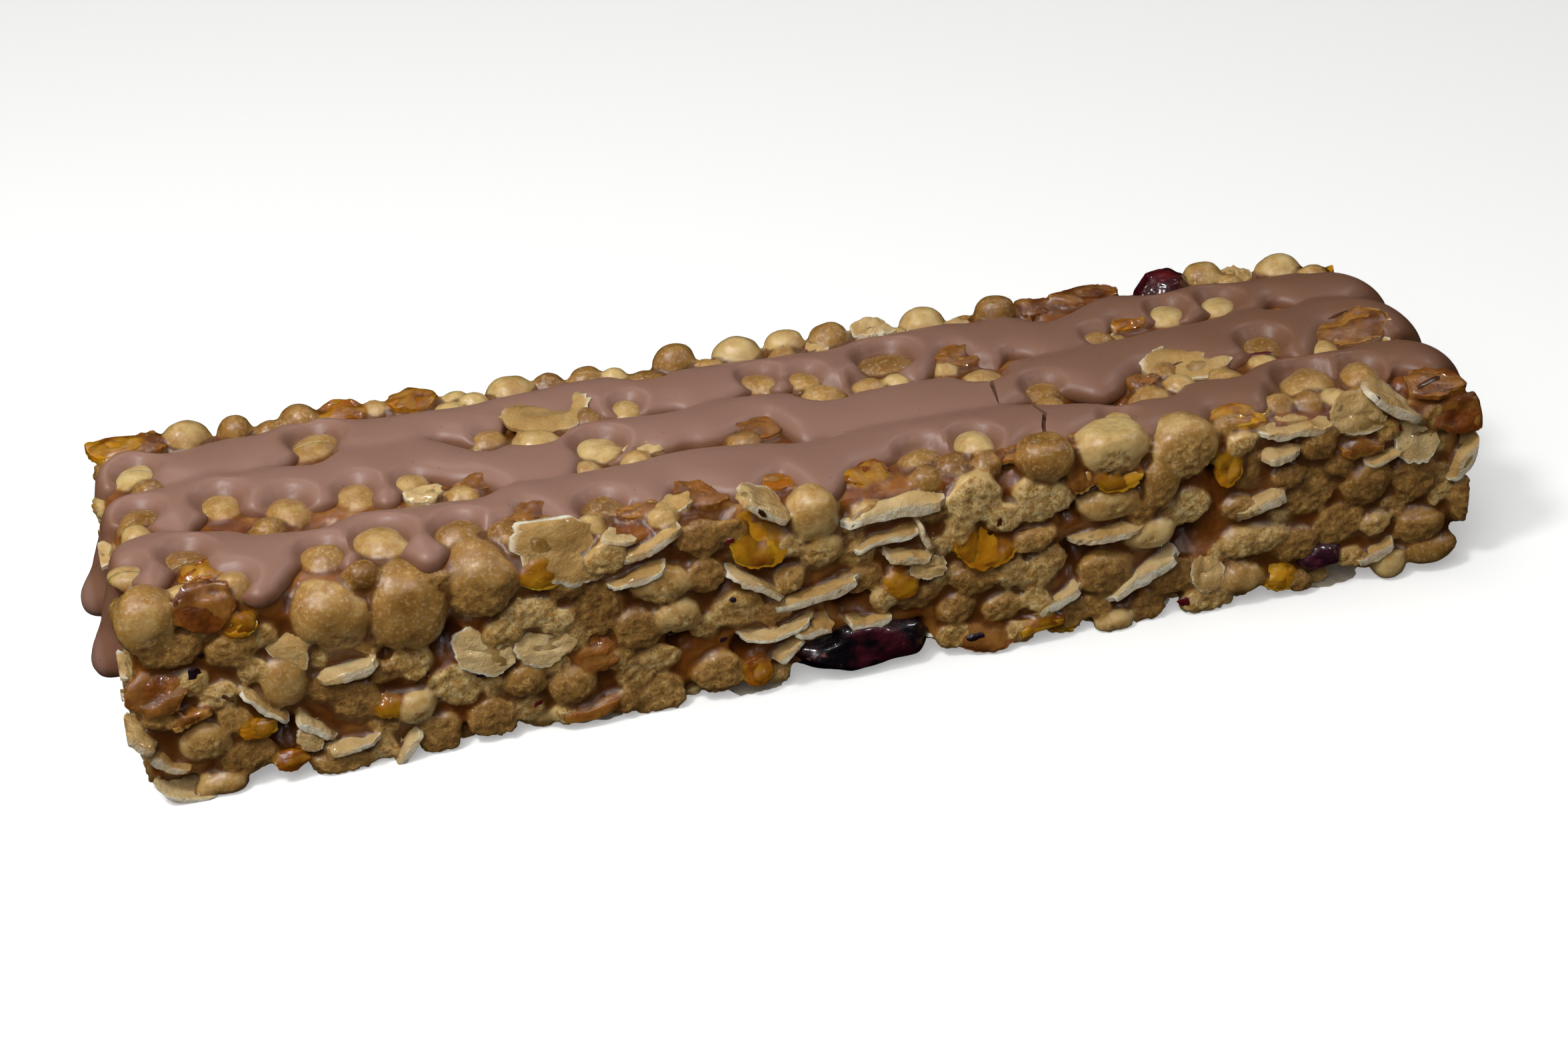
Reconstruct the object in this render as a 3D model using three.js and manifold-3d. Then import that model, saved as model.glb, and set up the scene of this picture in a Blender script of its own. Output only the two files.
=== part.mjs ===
// A bar of puffed rice, rolled oats and corn flakes bound with syrup and cut from
// a slab, with three runs of fruit icing poured along its top and over both ends.
// Millimetres, +Z up, +X along the bar. The origin is on the floor under its middle.
import * as THREE from "three";
import { mergeVertices } from "three/addons/utils/BufferGeometryUtils.js";
import Module from "manifold-3d";

const wasm = await Module();
wasm.setup();

// Driving sizes
const barLength = 112;
const barWidth = 30;
const barHeight = 18.4; // over the tallest grains
const grainLevel = 17.9; // the level that the grains of the top reach on the whole
const shaveMost = 0.5; // how far short of a cut face a grain may be sliced off
const icingFloor = 16.8; // the underside of the icing
const icingThickness = 1.35; // at the crest of a run
const coreInset = 1.3; // from a face of the bar in to its bare core
const gap = 0.3; // between the cereal and what lies in or on it
const flakeThickness = 1.3;
const smallestPlaced = 3.2; // mean size of the finest placed grain that is fused on
const smallestThrown = 4.6; // and of the finest one that is placed by chance
const leftBend = 1.2; // radius of the icing's turn over the left end
const rightBend = 4; // and over the right end
const bendSteps = 3;
const topSteps = 36; // stations of a run between its two ends
const puffSwell = 0.56; // a little over half, as flat sides lie inside the round grain
const flakeFront = 0.7; // depth of a flake's middle behind the front face
const sliverFront = 1.6; // and of a flake that is seen edge on
const sliverReach = 4.2; // how far such a flake goes into the bar
const flakeTop = 0.9; // depth of a flake's middle under the top of the grains
const flakeTilt = 12; // degrees that it leans towards the front

const endX = barLength / 2;
const sideY = barWidth / 2;

// The front and top grains are placed as they are seen from this point.
const eye = new THREE.Vector3(-54, -204, 129);

// Front face: kind, x, z, width, height, tilt in degrees (right end up)
const frontGrains = [
  ["puff", -53.2, 17.0, 4.4, 4.6, 0], ["toffee", -48.8, 17.3, 4.4, 3.6, 10],
  ["corn", -46.4, 15.3, 2.4, 1.8, 0], ["cut", -51.6, 13.9, 4.6, 3.0, 0],
  ["cut", -47.3, 13.0, 3.9, 3.6, 0], ["toffee", -53.4, 10.6, 4.4, 3.4, 0],
  ["toffee", -51.2, 8.6, 3.0, 1.6, 20], ["oat", -55.2, 7.4, 3.2, 1.4, -30],
  ["oat", -53.4, 4.9, 4.0, 1.4, -40], ["oat", -52.3, 1.7, 5.0, 1.2, -20],
  ["puff", -50.2, 5.8, 3.6, 3.2, 0], ["oat", -45.6, 8.9, 5.0, 1.0, -42],
  ["oat", -41.8, 5.6, 3.6, 1.5, -45], ["puff", -43.8, 10.0, 3.2, 3.8, 0],
  ["oat", -43.4, 14.0, 3.4, 6.0, 20], ["puff", -39.7, 15.0, 5.6, 5.3, 0],
  ["puff", -34.1, 14.6, 5.8, 6.2, 0], ["oat", -38.7, 10.3, 5.4, 2.0, 15],
  ["cut", -34.0, 9.0, 3.6, 3.2, 0], ["cut", -38.4, 6.6, 4.6, 3.2, 0], ["cut", -30.8, 6.2, 4.2, 4.2, 0],
  ["puff", -34.2, 5.4, 3.0, 2.6, 0], ["corn", -36.2, 5.9, 2.4, 2.0, 0], ["corn", -46.2, 5.9, 2.8, 1.6, 0],
  ["corn", -44.0, 2.6, 2.6, 1.6, 0], ["cut", -47.2, 3.6, 4.6, 3.4, 0], ["oat", -42.5, 4.0, 2.2, 1.6, -40],
  ["oat", -39.4, 3.6, 3.8, 1.2, 5], ["cut", -40.2, 1.4, 5.0, 2.8, 0], ["oat", -35.3, 2.0, 3.8, 1.2, 60],
  ["cut", -32.3, 2.3, 3.6, 4.2, 0], ["cut", -28.2, 2.5, 4.0, 3.6, 0], ["puff", -49.4, 1.6, 3.4, 2.0, 0],
  ["puff", -28.2, 15.6, 6.0, 5.4, 0], ["oat", -28.6, 9.3, 4.6, 3.6, -15],
  ["cut", -24.6, 11.7, 4.8, 2.6, 0], ["corn", -23.3, 15.0, 3.4, 2.4, 0],
  ["oat", -21.4, 16.8, 7.8, 5.4, -20], ["cut", -19.5, 11.0, 4.2, 5.0, 0],
  ["oat", -23.7, 8.5, 4.6, 2.8, -8], ["toffee", -19.8, 7.2, 4.0, 3.0, 0],
  ["puff", -21.8, 5.0, 3.6, 3.7, 0], ["puff", -25.4, 6.0, 2.8, 3.0, 0],
  ["toffee", -20.6, 2.6, 5.0, 1.8, 4], ["oat", -20.5, 1.0, 7.0, 1.5, 0],
  ["oat", -15.1, 16.4, 4.8, 1.6, 22], ["oat", -16.5, 14.0, 4.2, 1.1, 12],
  ["puff", -14.2, 12.6, 4.2, 3.0, 0], ["cut", -10.8, 15.6, 4.0, 2.7, 0],
  ["cut", -10.7, 12.2, 3.2, 3.3, 0], ["cut", -16.3, 8.5, 3.5, 3.7, 0], ["puff", -13.2, 9.6, 3.4, 2.8, 0],
  ["cut", -15.0, 5.5, 4.4, 2.6, 0], ["cut", -8.4, 8.8, 4.4, 3.4, 0], ["cut", -14.8, 2.0, 5.0, 3.9, 0],
  ["cut", -10.2, 3.1, 4.5, 3.5, 0], ["corn", -6.5, 14.8, 4.4, 4.4, 0], ["oat", -5.9, 18.0, 4.8, 1.6, -32],
  ["puff", -2.0, 16.5, 3.6, 4.0, 0], ["puff", -1.6, 13.2, 3.2, 2.9, 0],
  ["oat", -6.9, 11.6, 5.2, 1.2, -38], ["oat", -2.0, 9.5, 7.0, 1.7, 15], ["oat", -5.4, 6.7, 5.6, 1.0, 6],
  ["oat", -4.6, 5.0, 3.2, 1.2, 40], ["corn", -6.9, 2.8, 2.4, 2.4, 0], ["oat", -7.4, 0.9, 5.2, 1.4, 4],
  ["oat", 4.6, 16.2, 8.4, 2.2, 2], ["oat", 3.8, 13.7, 4.8, 1.1, 9], ["oat", 6.9, 13.2, 3.0, 1.0, -62],
  ["oat", 5.4, 11.6, 4.0, 1.5, -14], ["cut", 1.9, 9.3, 3.6, 2.6, 0], ["oat", 2.4, 6.0, 3.4, 1.4, 0],
  ["corn", 5.3, 8.8, 2.8, 2.6, 0], ["cut", 6.7, 6.9, 4.0, 2.2, 0], ["oat", 7.5, 9.7, 2.8, 1.8, 0],
  ["cut", 11.4, 15.0, 4.5, 4.4, 0], ["cut", 16.8, 14.0, 5.6, 4.9, 0], ["puff", 17.2, 17.8, 4.2, 3.4, 0],
  ["corn", 12.1, 11.5, 5.0, 4.6, -25], ["puff", 22.9, 17.8, 5.4, 4.0, 0],
  ["corn", 23.4, 14.9, 3.8, 2.2, 0], ["puff", 22.4, 13.0, 4.8, 2.9, 0], ["puff", 26.8, 14.0, 2.8, 4.2, 0],
  ["puff", 28.8, 16.6, 5.2, 4.8, 0], ["toffee", 20.1, 16.3, 2.2, 4.2, 0],
  ["oat", 22.6, 10.5, 6.4, 1.2, 8], ["cut", 16.4, 10.3, 4.2, 2.2, 10], ["cut", 16.8, 7.4, 5.2, 3.2, 30],
  ["cut", 11.6, 7.6, 4.6, 3.2, 0], ["cut", 9.9, 5.0, 3.0, 2.6, 0], ["puff", 26.2, 9.4, 3.6, 2.6, 0],
  ["cut", 29.6, 11.0, 5.0, 3.2, 0], ["oat", 25.6, 5.9, 6.6, 1.8, 30], ["oat", 18.4, 4.9, 4.6, 1.6, 30],
  ["corn", 16.6, 3.1, 4.4, 1.4, 6], ["cut", 19.6, 2.3, 3.2, 2.4, 0], ["toffee", 12.3, 2.6, 4.5, 3.6, 0],
  ["cut", 26.7, 1.7, 3.6, 3.2, 0], ["cut", 28.5, 4.3, 3.7, 3.4, 0], ["puff", 23.4, 1.3, 3.0, 1.8, 0],
  ["cut", 9.8, 2.2, 3.0, 2.6, 0], ["corn", 32.8, 14.4, 2.2, 3.8, 0], ["oat", 38.5, 16.9, 6.2, 1.3, 0],
  ["oat", 37.1, 15.0, 3.6, 1.9, 0], ["puff", 40.7, 15.0, 2.8, 2.6, 0], ["cut", 34.6, 13.5, 3.4, 3.6, 0],
  ["oat", 35.7, 10.8, 4.4, 2.4, 22], ["oat", 44.2, 17.0, 4.6, 3.6, 0], ["oat", 47.6, 17.2, 6.8, 1.7, -40],
  ["oat", 49.3, 14.2, 3.6, 4.4, 0], ["toffee", 44.3, 14.4, 3.6, 1.8, 0], ["oat", 46.2, 13.1, 3.4, 0.9, 4],
  ["toffee", 53.4, 15.4, 4.6, 3.2, 0], ["oat", 53.8, 11.6, 4.4, 2.0, 60],
  ["cut", 40.2, 10.6, 5.4, 4.4, 25], ["puff", 45.0, 10.8, 4.0, 4.0, 0], ["cut", 49.7, 9.7, 4.6, 4.0, 0],
  ["cut", 55.0, 7.2, 4.6, 5.4, 0], ["cut", 43.0, 6.7, 6.2, 4.0, 12], ["cut", 35.3, 6.7, 6.4, 3.3, 4],
  ["puff", 50.2, 5.7, 4.2, 3.2, 0], ["puff", 51.4, 3.2, 4.4, 2.6, 0], ["oat", 31.4, 4.5, 2.4, 3.2, 0],
  ["puff", 34.2, 3.5, 3.7, 2.8, 0], ["corn", 38.0, 2.7, 3.0, 2.4, 0], ["oat", 46.2, 3.9, 3.4, 1.8, 25],
  ["oat", 41.3, 0.8, 6.4, 1.1, 0], ["puff", 48.0, 2.1, 2.6, 2.6, 0], ["cut", 31.7, 1.6, 4.5, 2.6, 0],
];

// Top face, in the gaps of the icing and along its front margin: kind, x, y, width
const topGrains = [
  ["puff", -52.0, 5.4, 3.4], ["puff", -37.6, 5.6, 4.2], ["puff", -24.0, 3.0, 2.4],
  ["oat", -18.8, 4.8, 7.4], ["puff", -12.3, 3.9, 2.6], ["puff", -0.8, 4.6, 3.2], ["puff", 2.9, 3.8, 2.8],
  ["puff", 9.8, 3.5, 5.0], ["toffee", 16.4, 3.6, 4.2], ["puff", 28.5, 3.0, 2.4], ["corn", 31.8, 5.0, 3.4],
  ["puff", 35.6, 5.0, 3.2], ["puff", 40.4, 5.0, 3.4], ["puff", -52.3, -1.6, 3.4],
  ["puff", -46.0, -1.6, 3.6], ["puff", -41.0, -3.8, 3.6], ["puff", -35.6, -3.2, 3.2],
  ["puff", -31.2, -2.8, 2.8], ["oat", -30.4, -4.8, 3.0], ["toffee", -26.4, -4.2, 3.0],
  ["puff", -16.0, -3.0, 4.2], ["oat", -12.2, -2.9, 3.2], ["toffee", -3.4, -3.0, 4.8],
  ["puff", 20.7, -4.8, 3.2], ["toffee", 29.2, -5.6, 2.6], ["oat", 34.0, -3.9, 7.2],
  ["puff", 40.6, -3.6, 3.8], ["toffee", 48.4, -2.8, 7.0], ["puff", -54.0, -9.4, 2.6],
  ["puff", -49.4, -9.2, 3.4], ["corn", -48.2, -10.8, 3.6], ["puff", -46.6, -14.2, 3.2],
  ["puff", -39.5, -12.4, 3.4], ["puff", -35.0, -12.4, 4.3], ["puff", -29.2, -12.8, 3.8],
  ["puff", -25.6, -13.6, 3.2], ["toffee", -23.2, -10.8, 4.4], ["puff", -18.0, -12.6, 3.6],
  ["toffee", -15.2, -12.8, 3.0], ["oat", -12.6, -12.6, 3.0], ["toffee", -9.4, -11.2, 5.6],
  ["corn", -3.8, -12.0, 3.2], ["corn", 2.7, -12.8, 4.0], ["puff", 12.2, -12.4, 3.6],
  ["toffee", 14.9, -13.8, 2.8], ["toffee", 20.1, -13.6, 3.0], ["puff", 24.6, -11.6, 2.4],
  ["corn", 34.4, -13.4, 4.8], ["puff", 40.7, -12.6, 5.4], ["puff", 45.8, -11.6, 3.8],
  ["toffee", 51.4, -13.6, 5.2],
];

// Back edge of the top: kind, x, width, top z
const backGrains = [
  ["corn", -53.6, 5.0, 17.9], ["toffee", -50.4, 3.6, 17.8], ["puff", -47.4, 3.8, 18.3],
  ["puff", -43.4, 3.0, 18.2], ["puff", -38.0, 3.6, 18.2], ["corn", -34.6, 4.2, 18.0],
  ["puff", -31.8, 3.0, 17.4], ["corn", -28.6, 3.8, 17.9], ["puff", -25.0, 2.6, 17.2],
  ["puff", -20.2, 4.4, 17.9], ["puff", -17.0, 2.8, 17.6], ["puff", -13.8, 3.4, 17.7],
  ["puff", -6.0, 3.8, 18.4], ["puff", -0.4, 4.2, 18.3], ["puff", 3.7, 3.4, 18.1],
  ["puff", 7.8, 3.8, 18.1], ["oat", 11.6, 3.6, 18.0], ["puff", 16.2, 4.2, 18.1],
  ["puff", 22.9, 3.8, 18.3], ["toffee", 26.4, 3.0, 17.4], ["toffee", 31.0, 6.2, 17.8],
  ["puff", 42.2, 3.8, 18.3], ["oat", 45.4, 2.8, 17.4], ["puff", 49.6, 4.8, 17.8],
];

// Each run of icing lies between two edges, given by the crests and hollows [x, y]
// of their waves, and its left and right ends hang down by `drop`. Neighbouring runs
// touch wherever their edges cross.
const runs = [
  {
    back: [[-56, 9], [-52.4, 11.6], [-48.8, 10.2], [-44, 11.4], [-42, 11.2], [-38, 12.6], [-31, 10.5],
      [-26, 10.4], [-13, 11.6], [-8, 10.7], [6.8, 10.3], [10.5, 11.2], [18, 11.4], [20, 10.9], [22.5, 11.2],
      [26, 9], [33, 11.7], [36.5, 10.5], [41, 11.2], [46, 10.4], [49, 10.8], [52, 10], [56, 9]],
    front: [[-56, 4.5], [-54, 6.4], [-52, 8.6], [-49.5, 4.4], [-47, 3.4], [-42, 4], [-40.6, 5],
      [-38, 7.3], [-36, 7], [-34.5, 3.6], [-30, 4], [-28, 5.4], [-24, 3.4], [-21.4, 6.6],
      [-17, 6], [-15, 6.5], [-13.8, 4.4], [-9.2, 4.3], [-6, 3.4], [-3.4, 4.2], [-0.4, 5.6], [1.1, 4.2],
      [2.8, 5.1], [5.6, 1.6], [9.8, 5.4], [12.3, 2], [16.6, 6.3], [19.2, 2.6], [21, 4.2], [25.5, 1.4],
      [28, 3], [32, 6.6], [34, 5.7], [36, 6.2], [38, 4.9], [40.6, 6], [43.2, 3.8], [46, 6], [49, 3.8],
      [52.5, 4], [56, 4.6]],
    drop: [0.8, 1.6],
  },
  {
    back: [[-56, 4], [-50, 4.7], [-47, 5.6], [-44.4, 4.9], [-42, 5.2], [-38, 4.5], [-34.5, 6.8], [-30, 6.4],
      [-24, 1.9], [-22, 2.9], [-20, 2.6], [-15, 4.1], [-9, 3.6], [-4, 4.3], [0, 3.9], [5.6, 1.8], [8, 2],
      [14, 2.2], [17.2, 1.2], [20.6, 2.9], [24, 3], [26, 3.2], [30, 3.6], [36, 4.4], [43.4, 5.4], [46, 4.2],
      [49, 5.2], [52.5, 4.4], [56, 3.6]],
    front: [[-56, 0.4], [-52.6, 0.1], [-50.6, -2.4], [-49, -3.6], [-47.8, -2], [-46.2, 1.7], [-43.2, -1.6],
      [-40, -1.8], [-38.2, -2.4], [-35.6, -0.8], [-33.2, -4], [-30.4, -0.1], [-26.5, -2.4], [-23, -5.6],
      [-19.5, -5.4], [-16.6, -1.4], [-14.1, -3.2], [-12.4, -1.6], [-10, -2.3], [-8.6, -1.9], [-6.8, -2.4],
      [-1.4, -0.4], [0.6, -5], [6, -5.2], [17, -5.2], [18.8, -4.6], [20.4, -3.9], [22.8, -3.1], [26, -5.5],
      [31.4, -2], [34, -1.7], [37.6, -3.8], [42, -2.1], [44, -4.8], [48.6, -0.7], [51.5, -1.4], [53, -3.4],
      [56, -2.6]],
    drop: [7.2, 2.6],
  },
  {
    back: [[-56, -3.6], [-51.4, -2.2], [-48, -3.5], [-46, -3.7], [-43.4, -5.3], [-39.6, -6.2], [-36, -4.6],
      [-30, -5], [-27, -5.4], [-23, -4.2], [-19.5, -4], [-16, -3.8], [-9, -3.1], [2, -5], [6, -4.4],
      [17, -4.4], [19, -5], [22, -6], [26.6, -7.6], [32, -5.9], [37, -5.6], [42, -4.3], [46, -4.6],
      [50, -4], [56, -4.6]],
    front: [[-56, -7], [-54.2, -7.4], [-52.4, -11.6], [-49.2, -7.4], [-44.6, -14.6], [-39.4, -9.2],
      [-37.6, -12.4], [-35.2, -9.2], [-31.6, -14], [-28, -10.1], [-26.4, -12.8], [-23.3, -8.4],
      [-20.2, -12.2], [-18, -10], [-16.2, -11], [-15, -10.2], [-13.4, -12], [-11.4, -9.3], [-6.2, -11.9],
      [-3, -9.9], [-0.8, -14.2], [4, -10.5], [8.4, -9.4], [10.8, -10.5], [12, -10.2], [15.4, -12.1],
      [18, -10.7], [20, -12], [24.8, -10.3], [26.4, -13.4], [28.6, -12.8], [30.6, -14.2], [33.2, -11.3],
      [37, -12.6], [39, -9.4], [42, -9.2], [43.6, -10.5], [45.8, -8.7], [48.2, -11], [50.2, -9.2],
      [53, -11], [56, -9.6]],
    drop: [8.4, 2.0],
  },
];

// Dried fruit: centre, half sizes, turn about z in degrees. Each is a node.
const fruits = {
  dark_berry: { at: [2.6, -12.2, 2.55], half: [5.9, 3.6, 2.2], turn: 4 },
  red_berry: { at: [38.4, 12.6, 16.6], half: [2.9, 2.3, 1.9], turn: 28 },
  plum_berry: { at: [42.1, -13.1, 3.3], half: [2.3, 2.2, 1.4], turn: 0 },
};

const colours = {
  cereal: 0xc8a26a,
  icing: 0xc79a88,
  dark_berry: 0x2a1420,
  red_berry: 0x5a0f18,
  plum_berry: 0x46202c,
};

// A repeatable draw between 0 and 1
function makeDraw(seed) {
  let state = seed;
  return () => {
    state = (Math.imul(state, 1664525) + 1013904223) >>> 0;
    return state / 4294967296;
  };
}

// Height of a wavy edge at x: half a cosine from each crest or hollow to the next
function edgeAt(points, x) {
  const next = Math.max(1, points.findIndex(([px]) => px >= x));
  const [x0, y0] = points[next - 1];
  const [x1, y1] = points[next];
  const along = Math.min(1, Math.max(0, (x - x0) / (x1 - x0)));
  return y0 + (y1 - y0) * (1 - Math.cos(Math.PI * along)) / 2;
}

// Closed mesh to solid and back
function toSolid(geometry) {
  const bare = geometry.clone();
  bare.deleteAttribute("normal");
  bare.deleteAttribute("uv");
  const merged = mergeVertices(bare, 1e-5);
  return new wasm.Manifold(new wasm.Mesh({
    numProp: 3,
    vertProperties: new Float32Array(merged.attributes.position.array),
    triVerts: new Uint32Array(merged.index.array),
  }));
}

function toGeometry(solid) {
  const mesh = solid.getMesh();
  const geometry = new THREE.BufferGeometry();
  geometry.setAttribute("position", new THREE.BufferAttribute(new Float32Array(mesh.vertProperties), 3));
  geometry.setIndex(new THREE.BufferAttribute(new Uint32Array(mesh.triVerts), 1));
  geometry.computeVertexNormals();
  return geometry;
}

// Moves every vertex of a geometry, with equal vertices merged first
function reshape(geometry, move) {
  geometry.deleteAttribute("normal");
  geometry.deleteAttribute("uv");
  const merged = mergeVertices(geometry, 1e-4);
  const position = merged.attributes.position;
  const point = new THREE.Vector3();
  for (let i = 0; i < position.count; i += 1) {
    move(point.fromBufferAttribute(position, i));
    position.setXYZ(i, point.x, point.y, point.z);
  }
  return merged;
}

// Floor and top of the bar at x: flat, with the corners of both ends broken away
function floorAt(x) {
  const past = Math.max(0, (x - 50) / 6, (-54.4 - x) / 2.4);
  return 3.4 * past * past;
}

function topAt(x) {
  const bend = x > 0 ? 4.5 : 1.8;
  const past = Math.max(0, Math.abs(x) - (endX - bend));
  return barHeight - bend + Math.sqrt(bend * bend - past * past);
}

// Slices off what sticks out of the bar
function trim(p, shave) {
  p.x = THREE.MathUtils.clamp(p.x, shave - endX, endX - shave);
  p.y = THREE.MathUtils.clamp(p.y, shave - sideY, sideY - shave);
  p.z = THREE.MathUtils.clamp(p.z, floorAt(p.x), topAt(p.x));
}

// A puffed grain: a six-sided lump with the given extents and its poles on the
// axis that its face of the bar looks along
function puffShape([width, depth, height], facing, draw) {
  const ball = new THREE.SphereGeometry(1, 6, 3);
  if (facing === 0) ball.rotateZ(Math.PI / 2);
  if (facing === 2) ball.rotateX(Math.PI / 2);
  return reshape(ball, (p) => {
    const radius = puffSwell * (0.93 + 0.12 * draw());
    p.set(p.x * width * radius, p.y * depth * radius, p.z * height * radius);
  });
}

// A flake: a six-sided disc, thin in z, with an uneven rim and a slight curl
function flakeShape([width, depth, height], draw) {
  const disc = new THREE.CylinderGeometry(0.5, 0.5, 1, 6, 1);
  disc.rotateX(Math.PI / 2);
  const curl = (draw() - 0.5) * 0.8;
  return reshape(disc, (p) => {
    const rim = 0.9 + 0.1 * Math.sin(3 * Math.atan2(p.y, p.x) + 9 * curl);
    const bend = curl * (p.x * p.x + 0.5 * p.y * p.x) * height * 2;
    p.set(p.x * width * rim, p.y * depth * rim, p.z * height + bend);
  });
}

const isFlake = (kind) => kind === "oat" || kind === "corn" || kind === "toffee";

// Goes on from a point along the line of sight until it is `depth` behind a plane
function behind(point, normal, depth) {
  const sight = point.clone().sub(eye);
  return point.clone().addScaledVector(sight, depth / Math.abs(sight.dot(normal)));
}

// Grains of the front face: a flake is seen edge on where it is much wider than high,
// and otherwise stands flat against the face
function frontPlaced([kind, x, z, width, height, tilt]) {
  const round = (width + height) / 2;
  const placed = (depth, size, stand) => {
    const at = behind(new THREE.Vector3(x, -sideY, z), new THREE.Vector3(0, 1, 0), depth);
    return { kind, facing: 1, at, size, turn: [stand, -tilt, 0] };
  };
  if (!isFlake(kind)) {
    const sunk = kind === "puff" ? 0.5 : 0.22;
    return placed(sunk * round, [width, round, height], 0);
  }
  if (height < 0.55 * width) return placed(sliverFront, [width, sliverReach, height], 0);
  return placed(flakeFront, [width, height, flakeThickness], 90);
}

// Grains that show from above
function topPlaced([kind, x, y, width]) {
  const flake = isFlake(kind);
  const above = new THREE.Vector3(0, 0, 1);
  const at = behind(new THREE.Vector3(x, y, grainLevel), above, flake ? flakeTop : 0.42 * width);
  const size = flake ? [width, 0.62 * width, flakeThickness] : [width, 0.95 * width, 0.85 * width];
  return { kind, facing: 2, at, size, turn: [flake ? flakeTilt : 0, 0, 0] };
}

// Grains of the back edge
function backPlaced([kind, x, width, top]) {
  const flake = isFlake(kind);
  const height = flake ? 2.2 : 0.9 * width;
  const at = new THREE.Vector3(x, sideY - 1.9, top - height / 2);
  return { kind, facing: 2, at, size: [width, flake ? 3.2 : 0.9 * width, height], turn: [0, 0, 0] };
}

// The faces that are filled by chance: which axis they look along, how far out they
// lie, and the reach of the other two axes.
const faces = [
  { axis: 2, level: grainLevel, u: [0, -53, 53], v: [1, -13, 13], seed: 11 },
  { axis: 1, level: sideY, u: [0, -54, 54], v: [2, 1.6, 15.4], seed: 23 },
  { axis: 2, level: 0, u: [0, -53.5, 52], v: [1, -13.4, 13.4], seed: 37 },
  { axis: 0, level: -endX, u: [1, -13, 13], v: [2, 1.8, 15.6], seed: 41 },
  { axis: 0, level: endX, u: [1, -13, 13], v: [2, 4, 14.5], seed: 53 },
  { axis: 1, level: -sideY, u: [0, -54, 54], v: [2, 1.2, 15.6], seed: 67 },
];
const grainSizes = [[4.4, 5.2], [3.2, 4.2]]; // largest first

function kindFor(chance) {
  if (chance < 0.6) return "puff";
  if (chance < 0.82) return "oat";
  if (chance < 0.93) return "corn";
  return "toffee";
}

// True where the icing lies over a point of the top
function underIcing(x, y) {
  const margin = 0.8;
  return runs.some(
    ({ back, front }) => y < edgeAt(back, x) - margin && y > edgeAt(front, x) + margin,
  );
}

// Throws grains at a face and keeps each one that has room between its neighbours
function fillFace(face, grains) {
  const draw = makeDraw(face.seed);
  const triesPerGrain = 9;
  const sunk = face.level === grainLevel ? 0.3 : 0.2; // round on top, sliced or pressed flat elsewhere
  for (const [least, most] of grainSizes) {
    const area = (face.u[2] - face.u[1]) * (face.v[2] - face.v[1]);
    const tries = Math.round(triesPerGrain * area / (least * least));
    for (let i = 0; i < tries; i += 1) {
      const size = least + (most - least) * draw();
      const kind = kindFor(draw());
      const at = [0, 0, 0];
      at[face.u[0]] = face.u[1] + (face.u[2] - face.u[1]) * draw();
      at[face.v[0]] = face.v[1] + (face.v[2] - face.v[1]) * draw();
      const inset = size * (sunk + 0.14 * draw());
      at[face.axis] = face.level > 1 ? face.level - inset : face.level + inset;
      const tilts = [50 * (draw() - 0.5), 50 * (draw() - 0.5), 360 * draw()];
      if (face.level === grainLevel && underIcing(at[0], at[1])) continue;
      const room = 0.42; // of the two grains' sizes together
      const free = grains.every(({ at: other, span }) => {
        const near = room * (size + span);
        const dx = at[0] - other.x;
        const dy = at[1] - other.y;
        const dz = at[2] - other.z;
        return dx * dx + dy * dy + dz * dz > near * near;
      });
      if (!free) continue;
      const flake = isFlake(kind);
      grains.push({
        kind,
        facing: face.axis,
        at: new THREE.Vector3(...at),
        size: flake ? [1.1 * size, 0.9 * size, flakeThickness] : [size, 0.92 * size, 0.84 * size],
        span: size,
        turn: flake ? tilts : [0, 0, 0],
        fused: size > smallestThrown,
      });
    }
  }
}

// Every grain of the bar: the placed ones first, then the ones that fill the rest
function allGrains() {
  const grains = [
    ...frontGrains.map(frontPlaced),
    ...topGrains.map(topPlaced),
    ...backGrains.map(backPlaced),
  ];
  // one flat-bottomed grain under the middle, where the bar rests
  const rest = new THREE.Vector3(0, 0, 1.1);
  grains.push({ kind: "puff", facing: 2, at: rest, size: [5.2, 5, 5], turn: [0, 0, 0] });
  for (const grain of grains) {
    const [width, depth, height] = grain.size;
    grain.span = Math.cbrt(width * depth * height);
    grain.fused = grain.span > smallestPlaced;
  }
  for (const face of faces) fillFace(face, grains);
  return grains;
}

function coreBlock() {
  const top = icingFloor - gap - 0.1;
  const block = new THREE.BoxGeometry(
    barLength - 2 * coreInset, barWidth - 2 * coreInset, top - coreInset, 1, 1, 1);
  block.translate(0, 0, (top + coreInset) / 2);
  return block;
}

// The hanging ends of a run: the share of the way up from the tip (left) or down to it
// (right), and the shares of the run's width and thickness that are left there
const leftDrop = [
  [0, 0.25, 0.5], [0.08, 0.75, 1.05], [0.25, 0.95, 1.15], [0.55, 0.78, 0.85], [0.85, 0.9, 0.75],
];
const rightDrop = [[0.6, 0.66, 1], [1, 0.3, 0.6]];

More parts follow.
